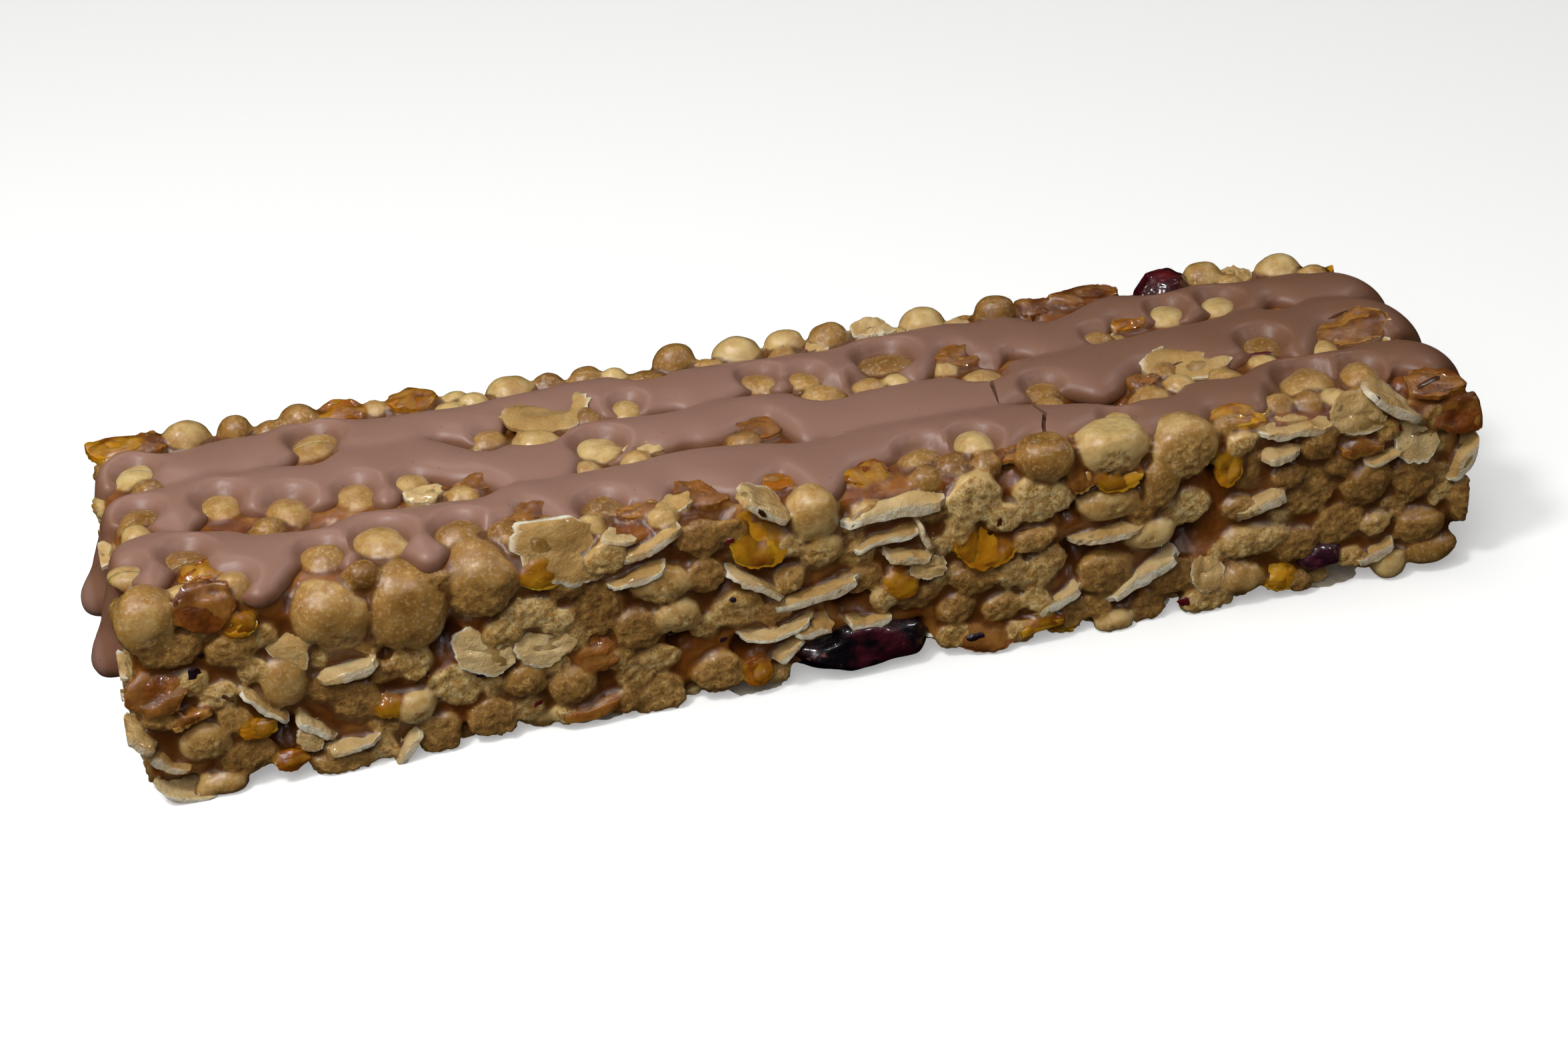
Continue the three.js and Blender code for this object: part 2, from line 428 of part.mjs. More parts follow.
// The line that a run's underside follows: up the left end, round onto the top,
// along it, round the right end and down. Stations of place, outward normal and
// the share of the width and thickness that is left there.
function runPath(drop) {
  const clear = endX + gap;
  const stations = [];
  const add = (x, z, nx, nz, width, thick) => stations.push({ x, z, nx, nz, width, thick });
  for (const [up, width, thick] of leftDrop) {
    add(-clear, icingFloor - leftBend - drop[0] * (1 - up), -1, 0, width, thick);
  }
  for (let i = 0; i <= bendSteps; i += 1) {
    const angle = Math.PI * (1 - 0.5 * i / bendSteps);
    add(-clear + leftBend * (1 + Math.cos(angle)), icingFloor - leftBend * (1 - Math.sin(angle)),
      Math.cos(angle), Math.sin(angle), 1, 0.9);
  }
  const start = -clear + leftBend;
  const end = clear - rightBend;
  for (let i = 1; i < topSteps; i += 1) {
    add(start + (end - start) * i / topSteps, icingFloor, 0, 1, 1, 1);
  }
  for (let i = 0; i <= bendSteps; i += 1) {
    const angle = 0.5 * Math.PI * (1 - i / bendSteps);
    add(end + rightBend * Math.cos(angle), icingFloor - rightBend * (1 - Math.sin(angle)),
      Math.cos(angle), Math.sin(angle), 1 - 0.08 * i, 1);
  }
  for (const [down, width, thick] of rightDrop) {
    add(clear, icingFloor - rightBend - drop[1] * down, 1, 0, width, thick);
  }
  return stations;
}

// One run of icing as a closed skin of rings. The room that it takes out of the
// cereal is a plain channel, wider and deeper by the gap and open above.
function runShape({ back, front, drop }, index, room) {
  const domed = [[-1, -1], [-1, 0.25], [-0.72, 0.8], [0, 1], [0.72, 0.8], [1, 0.25], [1, -1]];
  const channel = [[-1, -1], [-1, 2], [1, 2], [1, -1]];
  const section = room ? channel : domed;
  const grow = room ? gap : 0;
  const sunk = 0.05; // how far the underside lies past the path
  const rings = runPath(drop).map((station, i) => {
    const x = Math.min(endX, Math.max(-endX, station.x));
    const low = edgeAt(front, x);
    const high = edgeAt(back, x);
    const middle = (low + high) / 2;
    const half = (high - low) / 2 * station.width + grow;
    const swell = 1 + 0.12 * Math.sin(0.9 * i + 2 * index);
    const thick = icingThickness * station.thick * swell + grow;
    return section.map(([across, up]) => {
      const rise = up < 0 ? -sunk - grow : thick * up;
      return [station.x + station.nx * rise, middle + across * half, station.z + station.nz * rise];
    });
  });
  for (const ring of [rings[0], rings.at(-1)]) {
    for (const point of ring) point[2] -= grow;
  }
  const count = section.length;
  const triangles = [];
  for (let r = 0; r + 1 < rings.length; r += 1) {
    for (let c = 0; c < count; c += 1) {
      const a = r * count + c;
      const b = r * count + (c + 1) % count;
      triangles.push(a, a + count, b, b, a + count, b + count);
    }
  }
  const lastRing = (rings.length - 1) * count;
  for (let c = 1; c + 1 < count; c += 1) {
    triangles.push(0, c, c + 1);
    triangles.push(lastRing, lastRing + c + 1, lastRing + c);
  }
  const geometry = new THREE.BufferGeometry();
  geometry.setAttribute("position", new THREE.BufferAttribute(new Float32Array(rings.flat(2)), 3));
  geometry.setIndex(triangles);
  return geometry;
}

function icingSolid(room) {
  const shapes = runs.map((run, index) => toSolid(runShape(run, index, room)));
  return shapes.reduce((all, run) => all.add(run));
}

// A shrivelled fruit, grown all round by `grow`
function fruitSolid({ at, half, turn }, grow) {
  const lump = reshape(new THREE.IcosahedronGeometry(1, 1), (p) => {
    const fold = 1 + 0.07 * Math.sin(5 * p.x + 3 * p.z) + 0.05 * Math.sin(7 * p.y - 2 * p.x);
    p.multiplyScalar(fold);
    p.set(p.x * (half[0] + grow), p.y * (half[1] + grow), p.z * (half[2] + grow));
  });
  lump.rotateZ(THREE.MathUtils.degToRad(turn));
  lump.translate(...at);
  return toSolid(grow > 0 ? lump : reshape(lump, (p) => trim(p, 0)));
}

// Keeps the largest connected piece, which drops scraps and fills sealed pockets
function wholePiece(solid) {
  return solid.decompose().reduce((best, piece) => (piece.volume() > best.volume() ? piece : best));
}

function grainSolid({ kind, facing, at, size, turn }, draw) {
  const shape = isFlake(kind) ? flakeShape(size, draw) : puffShape(size, facing, draw);
  const [rx, ry, rz] = turn.map(THREE.MathUtils.degToRad);
  shape.applyMatrix4(new THREE.Matrix4().makeRotationFromEuler(new THREE.Euler(rx, ry, rz, "ZYX")));
  shape.translate(at.x, at.y, at.z);
  const shave = shaveMost * draw();
  return toSolid(reshape(shape, (p) => trim(p, shave)));
}

function cerealSolid() {
  const draw = makeDraw(5);
  let solid = toSolid(coreBlock());
  for (const grain of allGrains()) {
    if (grain.fused) solid = solid.add(grainSolid(grain, draw));
  }
  solid = solid.subtract(icingSolid(true));
  for (const fruit of Object.values(fruits)) solid = solid.subtract(fruitSolid(fruit, gap));
  return wholePiece(solid);
}

const bar = new THREE.Group();

function addNode(name, solid, color, roughness) {
  const material = new THREE.MeshStandardMaterial({ color, roughness, metalness: 0 });
  const mesh = new THREE.Mesh(toGeometry(solid), material);
  mesh.name = name;
  bar.add(mesh);
}

addNode("cereal", cerealSolid(), colours.cereal, 0.45);
addNode("icing", icingSolid(false), colours.icing, 0.5);
for (const [name, fruit] of Object.entries(fruits)) {
  const solid = fruitSolid(fruit, 0).subtract(icingSolid(true));
  addNode(name, wholePiece(solid), colours[name], 0.35);
}

export default bar;
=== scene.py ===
"""A bar of puffed rice, rolled oats and corn flakes bound with syrup, with three runs of
fruit icing along its top and over its ends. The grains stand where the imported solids
have them, and every kind gets its true surface here. Lengths are millimetres until a
mesh is made, and metres in it. +X runs along the bar and +Z up through the icing."""

import math
from typing import NamedTuple

import bpy
import numpy as np
from mathutils import Matrix, Quaternion, Vector
from mathutils.bvhtree import BVHTree


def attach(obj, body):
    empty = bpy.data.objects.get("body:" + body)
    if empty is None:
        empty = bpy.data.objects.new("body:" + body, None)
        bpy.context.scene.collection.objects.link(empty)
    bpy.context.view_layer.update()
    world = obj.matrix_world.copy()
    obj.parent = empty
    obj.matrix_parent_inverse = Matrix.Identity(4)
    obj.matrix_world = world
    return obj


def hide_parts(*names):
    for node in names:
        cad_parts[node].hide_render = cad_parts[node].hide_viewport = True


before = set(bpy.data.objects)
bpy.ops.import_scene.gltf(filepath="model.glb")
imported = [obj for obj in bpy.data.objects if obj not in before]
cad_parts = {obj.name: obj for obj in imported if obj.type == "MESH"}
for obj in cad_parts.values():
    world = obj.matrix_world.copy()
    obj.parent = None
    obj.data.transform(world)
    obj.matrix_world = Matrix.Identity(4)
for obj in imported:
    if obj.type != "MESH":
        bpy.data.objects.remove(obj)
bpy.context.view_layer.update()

MM = 0.001

# Driving sizes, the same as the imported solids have
END_X = 56.0
SIDE_Y = 15.0
TOP_Z = 18.4
GRAIN_LEVEL = 17.9
ICING_FLOOR = 16.8
ICING_THICKNESS = 1.2
CORE_INSET = 1.5
GAP = 0.3
FLAKE_THICKNESS = 1.2
FLAKE_LEAN = 22  # degrees that a flake on the front leans back
EYE = np.array([-54.0, -204.0, 129.0])  # grains are set back along the sight from here

# How the melted skins are made
SKIN_VOXEL = 0.30
ICING_VOXEL = 0.36
ICING_SKIRT = 0.9  # how far the icing runs down between the grains
ICING_SWELL = 0.35  # how far a run is blown up once it is smooth
LEFT_SETBACK = 1.8  # how far the top of each run stops short of the left end
# A corner darkens between these lifts, by pooled syrup and painted shade.
CORNER_LOW, CORNER_HIGH = 0.0, 0.09  # the lift by smoothing that marks a corner
CREASE = 0.3  # how much of that lift is cut deeper instead

# How grains are cut by the sides of the bar
SHAVE_LEAST, SHAVE_MOST = 0.2, 1.1  # how far cut grains stand back from the side
PROUD = 0.35  # how far whole grains may stand out of it
OPEN_SHARE = 0.42  # a grain is cut where its middle lies nearer to the side than this share of it

# How grains are set
PUFF_SWELL = 1.16  # puffs are a little larger than the faceted ones
PUFF_ROOM = 1.12  # the room that a puff takes, as a share of its mean extent
SLIVER_SHARE = 0.55  # a flake on the front lies edge on if it is lower than this share of its width
SLIVER_ROLL = 8  # degrees that the inner edge of such a sliver lies higher
SLIVER_REACH = 4.2  # how far a sliver reaches into the bar, at least
SLIVER_DEPTH = 1.6  # how far behind the face its middle lies
LOW_SLIVER_DEPTH, LOW_LEVEL = 3.6, 1.5  # the same for a sliver that lies no higher than this level
FRONT_MARGIN = -11  # grains of the top past this y stand freely in front of the icing
BACK_INSET = 1.9  # how far the row of the back edge stands from the side
BACK_FLAKE = (3.2, 2.2)  # depth and height of a flake in that row

# Front face: kind, x, z, width, height, tilt in degrees (right end up) where there is one
FRONT_GRAINS = [
    ("puff", -53.2, 17.0, 4.4, 4.6), ("toffee", -48.8, 17.3, 4.4, 3.6, 10), ("corn", -46.4, 15.3, 2.4, 1.8),
    ("cut", -51.6, 13.9, 4.6, 3.0), ("cut", -47.3, 13.0, 3.9, 3.6), ("toffee", -53.4, 10.6, 4.4, 3.4),
    ("toffee", -51.2, 8.6, 3.0, 1.6, 20), ("oat", -55.2, 7.4, 3.2, 1.4, -30),
    ("oat", -53.4, 4.9, 4.0, 1.4, -40), ("oat", -52.3, 1.7, 5.0, 1.2, -20), ("puff", -50.2, 5.8, 3.6, 3.2),
    ("oat", -45.6, 8.9, 5.0, 1.0, -42), ("oat", -41.8, 5.6, 3.6, 1.5, -45), ("puff", -43.8, 10.0, 3.2, 3.8),
    ("oat", -43.4, 14.0, 3.4, 6.0, 20), ("puff", -39.7, 15.0, 5.6, 5.3), ("puff", -34.1, 14.6, 5.8, 6.2),
    ("oat", -38.7, 10.3, 5.4, 2.0, 15), ("cut", -34.0, 9.0, 3.6, 3.2), ("cut", -38.4, 6.6, 4.6, 3.2),
    ("cut", -30.8, 6.2, 4.2, 4.2), ("puff", -34.2, 5.4, 3.0, 2.6), ("corn", -36.2, 5.9, 2.4, 2.0),
    ("corn", -46.2, 5.9, 2.8, 1.6), ("corn", -44.0, 2.6, 2.6, 1.6), ("cut", -47.2, 3.6, 4.6, 3.4),
    ("oat", -42.5, 4.0, 2.2, 1.6, -40), ("oat", -39.4, 3.6, 3.8, 1.2, 5), ("cut", -40.2, 1.4, 5.0, 2.8),
    ("oat", -35.3, 2.0, 3.8, 1.2, 60), ("cut", -32.3, 2.3, 3.6, 4.2), ("cut", -28.2, 2.5, 4.0, 3.6),
    ("puff", -49.4, 1.6, 3.4, 2.0), ("puff", -28.2, 15.6, 6.0, 5.4), ("oat", -28.6, 9.3, 4.6, 3.6, -15),
    ("cut", -24.6, 11.7, 4.8, 2.6), ("corn", -23.3, 15.0, 3.4, 2.4), ("oat", -21.4, 16.8, 7.8, 5.4, -20),
    ("cut", -19.5, 11.0, 4.2, 5.0), ("oat", -23.7, 8.5, 4.6, 2.8, -8), ("toffee", -19.8, 7.2, 4.0, 3.0),
    ("puff", -21.8, 5.0, 3.6, 3.7), ("puff", -25.4, 6.0, 2.8, 3.0), ("toffee", -20.6, 2.6, 5.0, 1.8, 4),
    ("oat", -20.5, 1.0, 7.0, 1.5), ("oat", -15.1, 16.4, 4.8, 1.6, 22), ("oat", -16.5, 14.0, 4.2, 1.1, 12),
    ("puff", -14.2, 12.6, 4.2, 3.0), ("cut", -10.8, 15.6, 4.0, 2.7), ("cut", -10.7, 12.2, 3.2, 3.3),
    ("cut", -16.3, 8.5, 3.5, 3.7), ("puff", -13.2, 9.6, 3.4, 2.8), ("cut", -15.0, 5.5, 4.4, 2.6),
    ("cut", -8.4, 8.8, 4.4, 3.4), ("cut", -14.8, 2.0, 5.0, 3.9), ("cut", -10.2, 3.1, 4.5, 3.5),
    ("corn", -6.5, 14.8, 4.4, 4.4), ("oat", -5.9, 18.0, 4.8, 1.6, -32), ("puff", -2.0, 16.5, 3.6, 4.0),
    ("puff", -1.6, 13.2, 3.2, 2.9), ("oat", -6.9, 11.6, 5.2, 1.2, -38), ("oat", -2.0, 9.5, 7.0, 1.7, 15),
    ("oat", -5.4, 6.7, 5.6, 1.0, 6), ("oat", -4.6, 5.0, 3.2, 1.2, 40), ("corn", -6.9, 2.8, 2.4, 2.4),
    ("oat", -7.4, 0.9, 5.2, 1.4, 4), ("oat", 4.6, 16.2, 8.4, 2.2, 2), ("oat", 3.8, 13.7, 4.8, 1.1, 9),
    ("oat", 6.9, 13.2, 3.0, 1.0, -62), ("oat", 5.4, 11.6, 4.0, 1.5, -14), ("cut", 1.9, 9.3, 3.6, 2.6),
    ("oat", 2.4, 6.0, 3.4, 1.4), ("corn", 5.3, 8.8, 2.8, 2.6), ("cut", 6.7, 6.9, 4.0, 2.2),
    ("oat", 7.5, 9.7, 2.8, 1.8), ("cut", 11.4, 15.0, 4.5, 4.4), ("cut", 16.8, 14.0, 5.6, 4.9),
    ("puff", 17.2, 17.8, 4.2, 3.4), ("corn", 12.1, 11.5, 5.0, 4.6, -25), ("puff", 22.9, 17.8, 5.4, 4.0),
    ("corn", 23.4, 14.9, 3.8, 2.2), ("puff", 22.4, 13.0, 4.8, 2.9), ("puff", 26.8, 14.0, 2.8, 4.2),
    ("puff", 28.8, 16.6, 5.2, 4.8), ("toffee", 20.1, 16.3, 2.2, 4.2), ("oat", 22.6, 10.5, 6.4, 1.2, 8),
    ("cut", 16.4, 10.3, 4.2, 2.2, 10), ("cut", 16.8, 7.4, 5.2, 3.2, 30), ("cut", 11.6, 7.6, 4.6, 3.2),
    ("cut", 9.9, 5.0, 3.0, 2.6), ("puff", 26.2, 9.4, 3.6, 2.6), ("cut", 29.6, 11.0, 5.0, 3.2),
    ("oat", 25.6, 5.9, 6.6, 1.8, 30), ("oat", 18.4, 4.9, 4.6, 1.6, 30), ("corn", 16.6, 3.1, 4.4, 1.4, 6),
    ("cut", 19.6, 2.3, 3.2, 2.4), ("toffee", 12.3, 2.6, 4.5, 3.6), ("cut", 26.7, 1.7, 3.6, 3.2),
    ("cut", 28.5, 4.3, 3.7, 3.4), ("puff", 23.4, 1.3, 3.0, 1.8), ("cut", 9.8, 2.2, 3.0, 2.6),
    ("corn", 32.8, 14.4, 2.2, 3.8), ("oat", 38.5, 16.9, 6.2, 1.3), ("oat", 37.1, 15.0, 3.6, 1.9),
    ("puff", 40.7, 15.0, 2.8, 2.6), ("cut", 34.6, 13.5, 3.4, 3.6), ("oat", 35.7, 10.8, 4.4, 2.4, 22),
    ("oat", 44.2, 17.0, 4.6, 3.6), ("oat", 47.6, 17.2, 6.8, 1.7, -40), ("oat", 49.3, 14.2, 3.6, 4.4),
    ("toffee", 44.3, 14.4, 3.6, 1.8), ("oat", 46.2, 13.1, 3.4, 0.9, 4), ("toffee", 53.4, 15.4, 4.6, 3.2),
    ("oat", 53.8, 11.6, 4.4, 2.0, 60), ("cut", 40.2, 10.6, 5.4, 4.4, 25), ("puff", 45.0, 10.8, 4.0, 4.0),
    ("cut", 49.7, 9.7, 4.6, 4.0), ("cut", 55.0, 7.2, 4.6, 5.4), ("cut", 43.0, 6.7, 6.2, 4.0, 12),
    ("cut", 35.3, 6.7, 6.4, 3.3, 4), ("puff", 50.2, 5.7, 4.2, 3.2), ("puff", 51.4, 3.2, 4.4, 2.6),
    ("oat", 31.4, 4.5, 2.4, 3.2), ("puff", 34.2, 3.5, 3.7, 2.8), ("corn", 38.0, 2.7, 3.0, 2.4),
    ("oat", 46.2, 3.9, 3.4, 1.8, 25), ("oat", 41.3, 0.8, 6.4, 1.1), ("puff", 48.0, 2.1, 2.6, 2.6),
    ("cut", 31.7, 1.6, 4.5, 2.6),
]

# Top face, in the gaps of the icing and along its front margin: kind, x, y, width
TOP_GRAINS = [
    ("puff", -52.0, 5.4, 3.4), ("puff", -37.6, 5.6, 4.2), ("puff", -24.0, 3.0, 2.4),
    ("oat", -18.8, 4.8, 7.4), ("puff", -12.3, 3.9, 2.6), ("puff", -0.8, 4.6, 3.2), ("puff", 2.9, 3.8, 2.8),
    ("puff", 9.8, 3.5, 5.0), ("toffee", 16.4, 3.6, 4.2), ("puff", 28.5, 3.0, 2.4), ("corn", 31.8, 5.0, 3.4),
    ("puff", 35.6, 5.0, 3.2), ("puff", 40.4, 5.0, 3.4), ("puff", -52.3, -1.6, 3.4),
    ("puff", -46.0, -1.6, 3.6), ("puff", -41.0, -3.8, 3.6), ("puff", -35.6, -3.2, 3.2),
    ("puff", -31.2, -2.8, 2.8), ("oat", -30.4, -4.8, 3.0), ("toffee", -26.4, -4.2, 3.0),
    ("puff", -16.0, -3.0, 4.2), ("oat", -12.2, -2.9, 3.2), ("toffee", -3.4, -3.0, 4.8),
    ("puff", 20.7, -4.8, 3.2), ("toffee", 29.2, -5.6, 2.6), ("oat", 34.0, -3.9, 7.2),
    ("puff", 40.6, -3.6, 3.8), ("toffee", 48.4, -2.8, 7.0), ("puff", -54.0, -9.4, 2.6),
    ("puff", -49.4, -9.2, 3.4), ("corn", -48.2, -10.8, 3.6), ("puff", -46.6, -14.2, 3.2),
    ("puff", -39.5, -12.4, 3.4), ("puff", -35.0, -12.4, 4.3), ("puff", -29.2, -12.8, 3.8),
    ("puff", -25.6, -13.6, 3.2), ("toffee", -23.2, -10.8, 4.4), ("puff", -18.0, -12.6, 3.6),
    ("toffee", -15.2, -12.8, 3.0), ("oat", -12.6, -12.6, 3.0), ("toffee", -9.4, -11.2, 5.6),
    ("corn", -3.8, -12.0, 3.2), ("corn", 2.7, -12.8, 4.0), ("puff", 12.2, -12.4, 3.6),
    ("toffee", 14.9, -13.8, 2.8), ("toffee", 20.1, -13.6, 3.0), ("puff", 24.6, -11.6, 2.4),
    ("corn", 34.4, -13.4, 4.8), ("puff", 40.7, -12.6, 5.4), ("puff", 45.8, -11.6, 3.8),
    ("toffee", 51.4, -13.6, 5.2),
]

# Back edge of the top: kind, x, width, top z
BACK_GRAINS = [
    ("corn", -53.0, 4.2, 17.9), ("toffee", -50.4, 3.6, 17.8), ("puff", -47.4, 3.8, 18.3),
    ("puff", -43.4, 3.0, 18.2), ("puff", -38.0, 3.6, 18.2), ("corn", -34.6, 4.2, 18.0),
    ("puff", -31.8, 3.0, 17.4), ("corn", -28.6, 3.8, 17.9), ("puff", -25.0, 2.6, 17.2),
    ("puff", -20.2, 4.4, 17.9), ("puff", -17.0, 2.8, 17.6), ("puff", -13.8, 3.4, 17.7),
    ("puff", -6.0, 3.8, 18.4), ("puff", -0.4, 4.2, 18.3), ("puff", 3.7, 3.4, 18.1),
    ("puff", 7.8, 3.8, 18.1), ("oat", 11.6, 3.6, 18.0), ("puff", 16.2, 4.2, 18.1),
    ("puff", 22.9, 3.8, 18.3), ("toffee", 26.4, 3.0, 17.4), ("toffee", 31.0, 6.2, 17.8),
    ("puff", 42.2, 3.8, 18.3), ("oat", 45.4, 2.8, 17.4), ("puff", 49.6, 4.8, 17.8),
]

# Each run of icing lies between two edges, given by the crests and hollows (x, y) of
# their waves, and its left and right ends hang down by `drop`.
RUNS = [
    {
        "back": [
            (-56, 9), (-52.4, 11.6), (-48.8, 10.2), (-44, 11.4), (-42, 11.2), (-38, 12.6), (-31, 10.5),
            (-26, 10.4), (-13, 11.6), (-8, 10.7), (6.8, 10.3), (10.5, 11.2), (18, 11.4), (20, 10.9),
            (22.5, 11.2), (26, 9), (33, 11.7), (36.5, 10.5), (41, 11.2), (46, 10.4), (49, 10.8), (52, 10),
            (56, 9),
        ],
        "front": [
            (-56, 4.5), (-54, 6.4), (-52, 8.6), (-49.5, 4.4), (-47, 3.4), (-42, 4), (-40.6, 5),
            (-38, 7.3), (-36, 7), (-34.5, 3.6), (-30, 4), (-28, 5.4), (-24, 3.4), (-21.4, 6.6), (-17, 6),
            (-15, 6.5), (-13.8, 4.4), (-9.2, 4.3), (-6, 3.4), (-3.4, 4.2), (-0.4, 5.6), (1.1, 4.2),
            (2.8, 5.1), (5.6, 1.6), (9.8, 5.4), (12.3, 2), (16.6, 6.3), (19.2, 2.6), (21, 4.2),
            (25.5, 1.4), (28, 3), (32, 6.6), (34, 5.7), (36, 6.2), (38, 4.9), (40.6, 6), (43.2, 3.8),
            (46, 6), (49, 3.8), (52.5, 4), (56, 4.6),
        ],
        "drop": (0.8, 1.6),
    },
    {
        "back": [
            (-56, 4), (-50, 4.7), (-47, 5.6), (-44.4, 4.9), (-42, 5.2), (-38, 4.5), (-34.5, 6.8),
            (-30, 6.4), (-24, 1.9), (-22, 2.9), (-20, 2.6), (-15, 4.1), (-9, 3.6), (-4, 4.3), (0, 3.9),
            (5.6, 1.8), (8, 2), (14, 2.2), (17.2, 1.2), (20.6, 2.9), (24, 3), (26, 3.2), (30, 3.6),
            (36, 4.4), (43.4, 5.4), (46, 4.2), (49, 5.2), (52.5, 4.4), (56, 3.6),
        ],
        "front": [
            (-56, 0.4), (-52.6, 0.1), (-50.6, -2.4), (-49, -3.6), (-47.8, -2), (-46.2, 1.7),
            (-43.2, -1.6), (-40, -1.8), (-38.2, -2.4), (-35.6, -0.8), (-33.2, -4), (-30.4, -0.1),
            (-26.5, -2.4), (-23, -5.6), (-19.5, -5.4), (-16.6, -1.4), (-14.1, -3.2), (-12.4, -1.6),
            (-10, -2.3), (-8.6, -1.9), (-6.8, -2.4), (-1.4, -0.4), (0.6, -5), (6, -5.2), (17, -5.2),
            (18.8, -4.6), (20.4, -3.9), (22.8, -3.1), (26, -5.5), (31.4, -2), (34, -1.7), (37.6, -3.8),
            (42, -2.1), (44, -4.8), (48.6, -0.7), (51.5, -1.4), (53, -3.4), (56, -2.6),
        ],
        "drop": (7.2, 2.6),
    },
    {
        "back": [
            (-56, -3.6), (-51.4, -2.2), (-48, -3.5), (-46, -3.7), (-43.4, -5.3), (-39.6, -6.2),
            (-36, -4.6), (-30, -5), (-27, -5.4), (-23, -4.2), (-19.5, -4), (-16, -3.8), (-9, -3.1),
            (2, -5), (6, -4.4), (17, -4.4), (19, -5), (22, -6), (26.6, -7.6), (32, -5.9), (37, -5.6),
            (42, -4.3), (46, -4.6), (50, -4), (56, -4.6),
        ],
        "front": [
            (-56, -7), (-54.2, -7.4), (-52.4, -11.6), (-49.2, -7.4), (-44.6, -14.6), (-39.4, -9.2),
            (-37.6, -12.4), (-35.2, -9.2), (-31.6, -14), (-28, -10.1), (-26.4, -12.8), (-23.3, -8.4),
            (-20.2, -12.2), (-18, -10), (-16.2, -11), (-15, -10.2), (-13.4, -12), (-11.4, -9.3),
            (-6.2, -11.9), (-3, -9.9), (-0.8, -14.2), (4, -10.5), (8.4, -9.4), (10.8, -10.5), (12, -10.2),
            (15.4, -12.1), (18, -10.7), (20, -12), (24.8, -10.3), (26.4, -13.4), (28.6, -12.8),
            (30.6, -14.2), (33.2, -11.3), (37, -12.6), (39, -9.4), (42, -9.2), (43.6, -10.5),
            (45.8, -8.7), (48.2, -11), (50.2, -9.2), (53, -11), (56, -9.6),
        ],
        "drop": (8.4, 2.0),
    },
]

# Open pits between the grains: the face (axis, side), the middle on it (x, then y or z),
# radius, depth
FRONT, TOP = (1, -1), (2, 1)
PITS = [
    (FRONT, -44.0, 4.2, 0.9, 2.4), (FRONT, -31.0, 10.0, 1.3, 2.0), (FRONT, -35.0, 10.5, 0.8, 2.4),
    (FRONT, -12.7, 6.3, 0.8, 3.4), (FRONT, -7.3, 4.6, 0.8, 3.4), (FRONT, 1.2, 7.5, 1.2, 4.0),
    (FRONT, 6.7, 2.8, 0.8, 2.4), (FRONT, 20.0, 11.7, 0.8, 2.4), (FRONT, 14.2, 16.7, 1.0, 3.0),
    (FRONT, -8.8, 11.7, 0.7, 2.4), (FRONT, 30.0, 7.5, 1.8, 2.6), (FRONT, 20.8, 7.5, 1.5, 2.6),
    (FRONT, 25.5, 3.2, 0.8, 2.4), (FRONT, 32.7, 13.5, 0.8, 2.6), (FRONT, -15.8, 12.0, 0.7, 2.4),
    (TOP, -38.6, -5.0, 1.3, 3.4), (TOP, -42.0, -14.2, 1.3, 3.4), (TOP, -9.0, -13.5, 1.4, 3.0),
    (TOP, 24.0, -4.8, 1.1, 3.0), (TOP, 26.5, -6.2, 1.6, 2.4), (TOP, 49.0, -11.3, 1.2, 3.0),
    (TOP, 25.0, 10.4, 1.0, 2.6),
]

# Dried fruit: centre, half sizes, turn about z in degrees
FRUITS = {
    "dark_berry": ((2.6, -12.3, 2.7), (6.0, 3.8, 2.45), 4),
    "red_berry": ((38.4, 12.6, 16.6), (2.9, 2.3, 1.9), 28),
    "plum_berry": ((42.1, -13.1, 3.3), (2.3, 2.2, 1.4), 0),
}

# Flakes: how ragged the rim is, how deep the crumple and the cleft along the middle, and
# the mean thickness and swing of the syrup over it
FLAKE_FORMS = {
    "oat": (0.11, 0.16, 0.20, (-0.14, 0.16)),
    "corn": (0.09, 0.16, 0.0, (0.06, 0.2)),
    "toffee": (0.10, 0.17, 0.0, (0.06, 0.2)),
}

# What a place of the skin can be, by number
KINDS = ("syrup", "rice", "oat", "corn", "toffee")

# Scraps that stick to the outside: the place aimed at, width, height, lean in degrees
SCRAPS = {
    "plum_scraps": [
        ((-50.2, -15, 11.7), 1.1, 1.4, 0), ((-28.7, -15, 7.4), 1.7, 1.1, 10),
        ((-13.7, -15, 7.9), 0.8, 0.6, 0), ((-49.4, -15, 13.2), 0.7, 0.5, 30),
        ((-8.6, -15, 9.9), 0.5, 0.4, 0), ((-9.5, -15, 6.4), 0.7, 0.4, 20), ((11.3, -15, 2.4), 1.6, 0.6, 10),
    ],
    "red_scraps": [
        ((29.6, -15, 2.0), 1.1, 0.8, 0), ((48.0, -15, 15.0), 0.8, 0.7, 0), ((5.0, -15, 4.2), 0.9, 0.7, 0),
        ((-8.6, -15, 15.2), 0.8, 0.5, 20), ((-24.6, -15, 3.6), 0.8, 0.4, 25),
        ((39.8, -4.2, 17.9), 2.4, 0.5, -30),
    ],
    "husks": [
        ((-48.2, -15, 9.2), 1.5, 0.4, -35), ((-53.3, -0.1, 17.9), 2.2, 0.4, 5),
        ((12.6, -15, 11.9), 2.6, 0.6, 60), ((13.4, -15, 12.6), 1.2, 0.4, 80),
        ((51.0, -13.4, 17.9), 2.6, 0.5, 20), ((53.2, -12.6, 17.9), 2.0, 0.4, 10),
        ((-6.2, -15, 17.4), 1.3, 0.5, -40), ((49.5, 0.4, 17.9), 1.8, 0.4, 12),
        ((33.6, -3.2, 17.9), 2.4, 0.4, 15),
    ],
}

